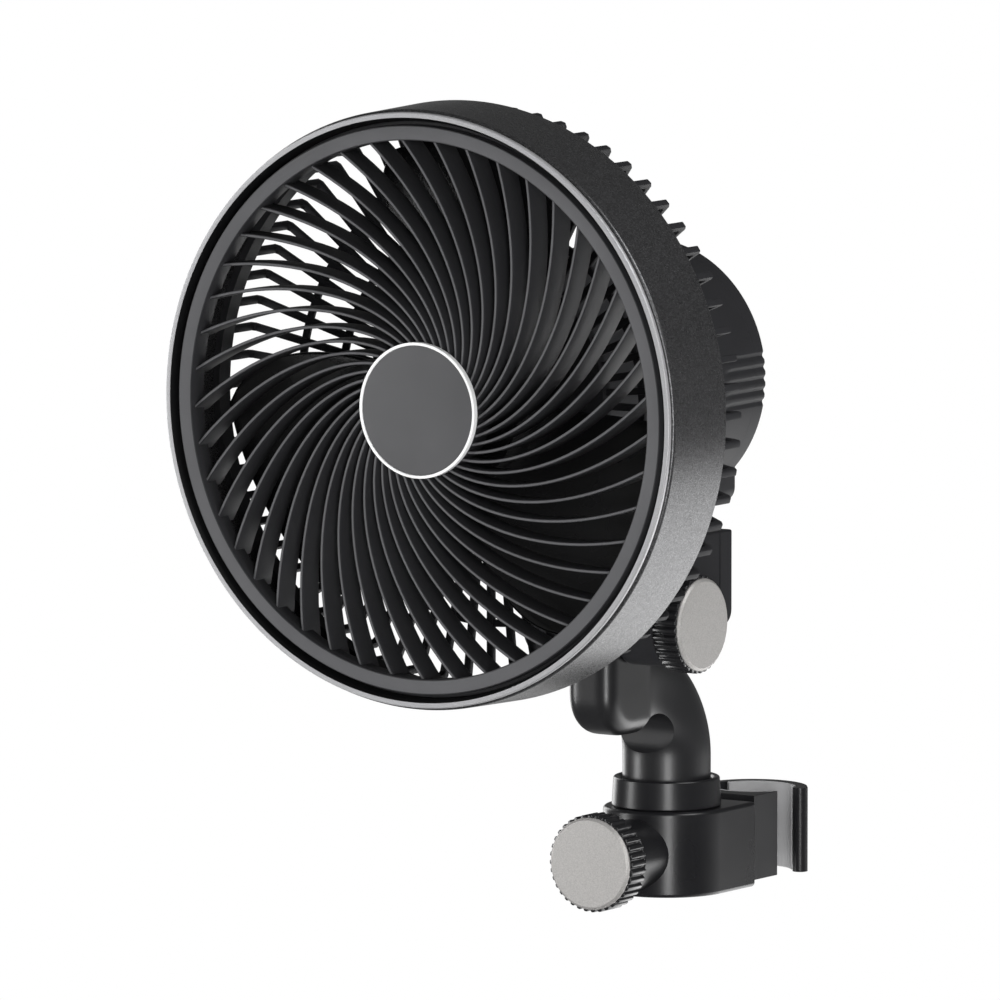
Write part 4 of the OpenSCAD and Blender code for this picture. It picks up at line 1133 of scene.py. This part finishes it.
class FAN_OT_jaws(bpy.types.Operator):
    """Builds the fixed hook, the press jaw and their rubber pads."""

    bl_idname = "clip_fan.jaws"
    bl_label = "Jaws"

    lip_angle, lip_lead = 24, 9
    bead, bead_inset = 2.6, 0.3
    bead_start, bead_end = 62, -242
    jaw_half, jaw_front = 13.3, -21
    tip_bore_radius, tip_bore_depth = 3.05, 4.3
    past = 1
    pad_room = 0.02
    hook_pad_lead, hook_pad_end = 12, 160
    jaw_pad_start, jaw_pad_end = 212, 328

    def pad(self, start, end):
        """A curved rubber strip between two angles."""
        stand = sizes_stand()
        half = stand.clamp_height / MM / 2
        inner = stand.pole_radius / MM + self.pad_room
        outer = (stand.pole_radius + stand.pad_thickness) / MM - self.pad_room
        outline = arc((0, 0), outer, start, end, 48) + arc((0, 0), inner, end, start, 48)
        return soften(plate(outline, -half, half, flat_plan), 0.35, segments=2, sharper_than=50)

    def execute(self, context):
        stand = sizes_stand()
        half = stand.clamp_height / MM / 2
        inner = (stand.pole_radius + stand.pad_thickness) / MM
        outer = inner + stand.hook_wall / MM
        lip = math.radians(self.lip_angle)
        middle = (inner + outer) / 2 - self.bead_inset
        bead_at = (middle * math.cos(lip), middle * math.sin(lip))
        outline = [(-outer, HOOK_BED_FRONT)]
        outline += arc((0, 0), outer, 180, self.lip_angle + self.lip_lead, 60)
        outline += arc(bead_at, self.bead, self.lip_angle + self.bead_start,
                       self.lip_angle + self.bead_end, 32)
        outline += arc((0, 0), inner, self.lip_angle + self.lip_lead, 180, 60)
        outline += [(-inner, HOOK_BED_FRONT)]
        hook = soften(plate(outline, -half, half, flat_plan), 0.6, segments=3)
        # Satin black that stays darker than the block
        nylon = moulded("satin black moulded nylon jaws", colours().nylon, roughness=0.34, grain_mm=0.7,
                        grain_height_mm=0.03, mirror=0.3)
        piece("hook_body", hook, "clamp_base", nylon, ["hook"])

        reach = math.degrees(math.acos(self.jaw_half / inner))
        face = [(-self.jaw_half, self.jaw_front), (self.jaw_half, self.jaw_front)]
        face += arc((0, 0), inner, -reach, reach - 180, 48)
        jaw = soften(plate(face, -half, half, flat_plan), 0.7, segments=3)
        tip = bore(self.tip_bore_radius, 0, self.jaw_front - self.past, self.jaw_front + self.tip_bore_depth)
        piece("jaw_body", carve(jaw, [tip]), "jaw", nylon, ["press_jaw"])

        # Dull mid-grey, with no shine
        rubber = moulded("grey pad rubber", colours().pad, roughness=0.75, grain_mm=0.5,
                         grain_height_mm=0.06)
        hook_pad = self.pad(self.lip_angle + self.hook_pad_lead, self.hook_pad_end)
        piece("hook_lining", hook_pad, "clamp_base", rubber, ["hook_pad"])
        jaw_pad = self.pad(self.jaw_pad_start, self.jaw_pad_end)
        piece("jaw_lining", jaw_pad, "jaw", rubber, ["jaw_pad"])
        return {"FINISHED"}


class FAN_OT_inner_parts(bpy.types.Operator):
    """Gives the small fixings and the inner pieces, which keep their solids, their finishes."""

    bl_idname = "clip_fan.inner_parts"
    bl_label = "Fixings and inner parts"

    def execute(self, context):
        # Metals shine along fine tool lines, each in its own colour
        zinc = turned_metal("zinc-plated steel", linear("#b9babd"), roughness=0.34, line_mm=0.5)
        rod = turned_metal("ground steel", linear("#c2c3c6"), roughness=0.26, line_mm=0.4)
        brass = turned_metal("turned brass", linear("#c9a25a"), roughness=0.3, line_mm=0.4)
        aluminium = turned_metal("turned aluminium", linear("#bfc0c2"), roughness=0.35, line_mm=0.5)
        copper = turned_metal("enamelled copper wire", linear("#b4622f"), roughness=0.3, line_mm=0.35)
        # Dull, glossy, satin and matte coats with a fine grain
        ferrite = moulded("coated ferrite", linear("#262627"), roughness=0.6, grain_mm=0.5,
                          grain_height_mm=0.04)
        sleeve = moulded("blue shrink sleeve", linear("#2f5f86"), roughness=0.3, grain_mm=1.0,
                         grain_height_mm=0.02)
        board = moulded("green solder mask", linear("#1f5a34"), roughness=0.4, grain_mm=1.2,
                        grain_height_mm=0.02)
        cradle = moulded("grey moulded cradle", linear("#4a4a4c"), roughness=0.55, grain_mm=0.6,
                         grain_height_mm=0.05)
        finishes = {
            zinc: ["hook_screws", "swivel_washer", "tilt_washers", "yoke_screws", "tilt_bolt",
                   "grille_screws", "cap_screws", "impeller_nut", "stator_core", "rotor_can",
                   "charge_socket"],
            rod: ["guide_rods", "motor_shaft", "bearings"],
            brass: ["thread_insert", "tilt_knob_insert"],
            aluminium: ["bearing_tube"],
            copper: ["windings"],
            ferrite: ["magnets"],
            sleeve: ["battery_cells"],
            board: ["control_board", "switch_board"],
            cradle: ["battery_cradle"],
        }
        for material, nodes in finishes.items():
            for node in nodes:
                mesh = frame["nodes"][node].data
                mesh.materials.clear()
                mesh.materials.append(material)
        return {"FINISHED"}


# Stage, in metres and watts


class FAN_OT_stage(bpy.types.Operator):
    """Sets the white floor, the soft lights and the camera at the photograph's angle."""

    bl_idname = "clip_fan.stage"
    bl_label = "Stage"

    azimuth, elevation = 32.5, 6.6
    aim = Vector((0.001, -0.1624, 0.1287))
    distance = 5.0
    lens = 543
    floor_place, floor_half = (0, -0.1, -0.5), 40
    horizon, ceiling = 0.3, 0.1
    shadow_edge, shadow_end = 0.2, 0.5
    pool_centre = Vector((0.6, 1.3, 0))
    pool_level, pool_far_level = 4.0, 0.15
    pool_edge, pool_end = 0.5, 1.4
    # Name, place, target, size and power
    lamps = (
        ("front_strip", (0.95, -1.4, 0.15), (0, -0.1, 0.1), (0.3, 1.3), 18),
        ("left_strip", (-1.2, -1.05, 0.15), (0, -0.15, 0.1), (0.3, 1.3), 13),
        ("right_box", (1.2, -0.1, 1.3), (0.03, -0.1, 0.1), (0.8, 0.8), 16),
        ("rear_box", (-1.8, 0.9, 0.2), (0, -0.1, 0.1), (0.9, 1.5), 14),
    )

    def floor_material(self):
        """White floor. It keeps shadows near the object and runs out to plain white for the camera. Shiny
        pieces mirror it as a dim floor with a bright pool of light behind the object."""
        material, tree, place = begin("white studio floor")
        path = add(tree, "ShaderNodeLightPath")
        away = add(tree, "ShaderNodeVectorMath", {0: place}, operation="LENGTH")
        fade = add(tree, "ShaderNodeMapRange", {"Value": away.outputs["Value"], "From Min": self.shadow_edge,
                                                "From Max": self.shadow_end})
        seen = add(tree, "ShaderNodeMath", {0: path.outputs["Is Camera Ray"], 1: fade.outputs["Result"]},
                   operation="MULTIPLY")
        mirrored = add(tree, "ShaderNodeMath", {0: path.outputs["Is Glossy Ray"],
                                                1: path.outputs["Is Transmission Ray"]}, operation="MAXIMUM")
        share = add(tree, "ShaderNodeMath", {0: mirrored.outputs[0], 1: seen.outputs[0]}, operation="MAXIMUM")
        off_pool = add(tree, "ShaderNodeVectorMath", {0: place, 1: self.pool_centre}, operation="DISTANCE")
        pool = add(tree, "ShaderNodeMapRange", {"Value": off_pool.outputs["Value"],
                                                "From Min": self.pool_edge, "From Max": self.pool_end,
                                                "To Min": self.pool_level, "To Max": self.pool_far_level})
        level = add(tree, "ShaderNodeMapRange", {"Value": mirrored.outputs[0], "To Min": 1.0,
                                                 "To Max": pool.outputs["Result"]})
        paper = add(tree, "ShaderNodeBsdfDiffuse", {"Color": linear("#fafafa")})
        glow = add(tree, "ShaderNodeEmission", {"Color": (1, 1, 1, 1), "Strength": level.outputs["Result"]})
        mix = add(tree, "ShaderNodeMixShader", {0: share.outputs[0], 1: paper.outputs[0], 2: glow.outputs[0]})
        add(tree, "ShaderNodeOutputMaterial", {"Surface": mix.outputs[0]})
        return material

    def floor(self):
        """The wide flat floor."""
        bm = bmesh.new()
        bmesh.ops.create_grid(bm, x_segments=1, y_segments=1, size=self.floor_half)
        ground = as_object(bm, "floor")
        ground.data.materials.append(self.floor_material())
        ground.location = self.floor_place

    def room(self, scene):
        """Dim white walls that fade towards the ceiling."""
        world = bpy.data.worlds.new("white room")
        scene.world = world
        world.use_nodes = True
        tree = world.node_tree
        tree.nodes.clear()
        aimed = add(tree, "ShaderNodeTexCoord")
        parts = add(tree, "ShaderNodeSeparateXYZ", {"Vector": aimed.outputs["Generated"]})
        level = add(tree, "ShaderNodeMapRange", {"Value": parts.outputs["Z"], "From Min": 0.02,
                                                 "From Max": 0.2, "To Min": self.horizon,
                                                 "To Max": self.ceiling})
        walls = add(tree, "ShaderNodeBackground", {"Color": (1, 1, 1, 1),
                                                   "Strength": level.outputs["Result"]})
        add(tree, "ShaderNodeOutputWorld", {"Surface": walls.outputs[0]})

    def lamp(self, name, place, target, size, power):
        """A soft square lamp at a place, turned to a target."""
        data = bpy.data.lights.new(name, "AREA")
        data.shape = "RECTANGLE"
        data.size, data.size_y = size
        data.energy = power
        obj = bpy.data.objects.new(name, data)
        obj.location = place
        obj.visible_camera = False
        obj.rotation_euler = (Vector(target) - Vector(place)).to_track_quat("-Z", "Y").to_euler()
        bpy.context.scene.collection.objects.link(obj)

    def camera(self, scene):
        """The camera, far off with a long lens."""
        data = bpy.data.cameras.new("camera")
        data.lens = self.lens
        data.sensor_width = 36
        data.clip_end = 200
        obj = bpy.data.objects.new("camera", data)
        a, e = math.radians(self.azimuth), math.radians(self.elevation)
        back = Vector((math.sin(a) * math.cos(e), -math.cos(a) * math.cos(e), math.sin(e)))
        obj.location = self.aim + back * self.distance
        obj.rotation_euler = (-back).to_track_quat("-Z", "Y").to_euler()
        scene.collection.objects.link(obj)
        scene.camera = obj

    def execute(self, context):
        scene = bpy.context.scene
        scene.view_settings.view_transform = "Standard"
        self.floor()
        self.room(scene)
        for name, place, target, size, power in self.lamps:
            self.lamp(name, place, target, size, power)
        self.camera(scene)
        return {"FINISHED"}


STEPS = (FAN_OT_band, FAN_OT_front_grille, FAN_OT_badge, FAN_OT_rear_grille, FAN_OT_impeller, FAN_OT_barrel,
         FAN_OT_yoke, FAN_OT_knobs, FAN_OT_arm, FAN_OT_base, FAN_OT_jaws, FAN_OT_inner_parts, FAN_OT_stage)


class FAN_PT_sidebar(bpy.types.Panel):
    """Lists the building steps and the sizes and colours that they use."""

    bl_label = "Clip Fan"
    bl_idname = "FAN_PT_sidebar"
    bl_space_type = "VIEW_3D"
    bl_region_type = "UI"
    bl_category = "Clip Fan"

    def draw(self, context):
        for step in STEPS:
            self.layout.operator(step.bl_idname)
        for group in (sizes_head(), sizes_stand(), colours()):
            frame_box = self.layout.box()
            for key in group.__annotations__:
                frame_box.prop(group, key)


CLASSES = (FanHeadSizes, StandSizes, FanColours, *STEPS, FAN_PT_sidebar)


def register():
    """Registers the classes and hangs their properties on the scene."""
    for cls in CLASSES:
        bpy.utils.register_class(cls)
    bpy.types.Scene.clip_fan_head = PointerProperty(type=FanHeadSizes)
    bpy.types.Scene.clip_fan_stand = PointerProperty(type=StandSizes)
    bpy.types.Scene.clip_fan_colours = PointerProperty(type=FanColours)


def unregister():
    """Takes the properties off the scene and unregisters the classes."""
    del bpy.types.Scene.clip_fan_colours
    del bpy.types.Scene.clip_fan_stand
    del bpy.types.Scene.clip_fan_head
    for cls in reversed(CLASSES):
        bpy.utils.unregister_class(cls)


def main():
    register()
    for step in STEPS:
        getattr(bpy.ops.clip_fan, step.bl_idname.split(".")[1])()


if __name__ == "__main__":
    main()
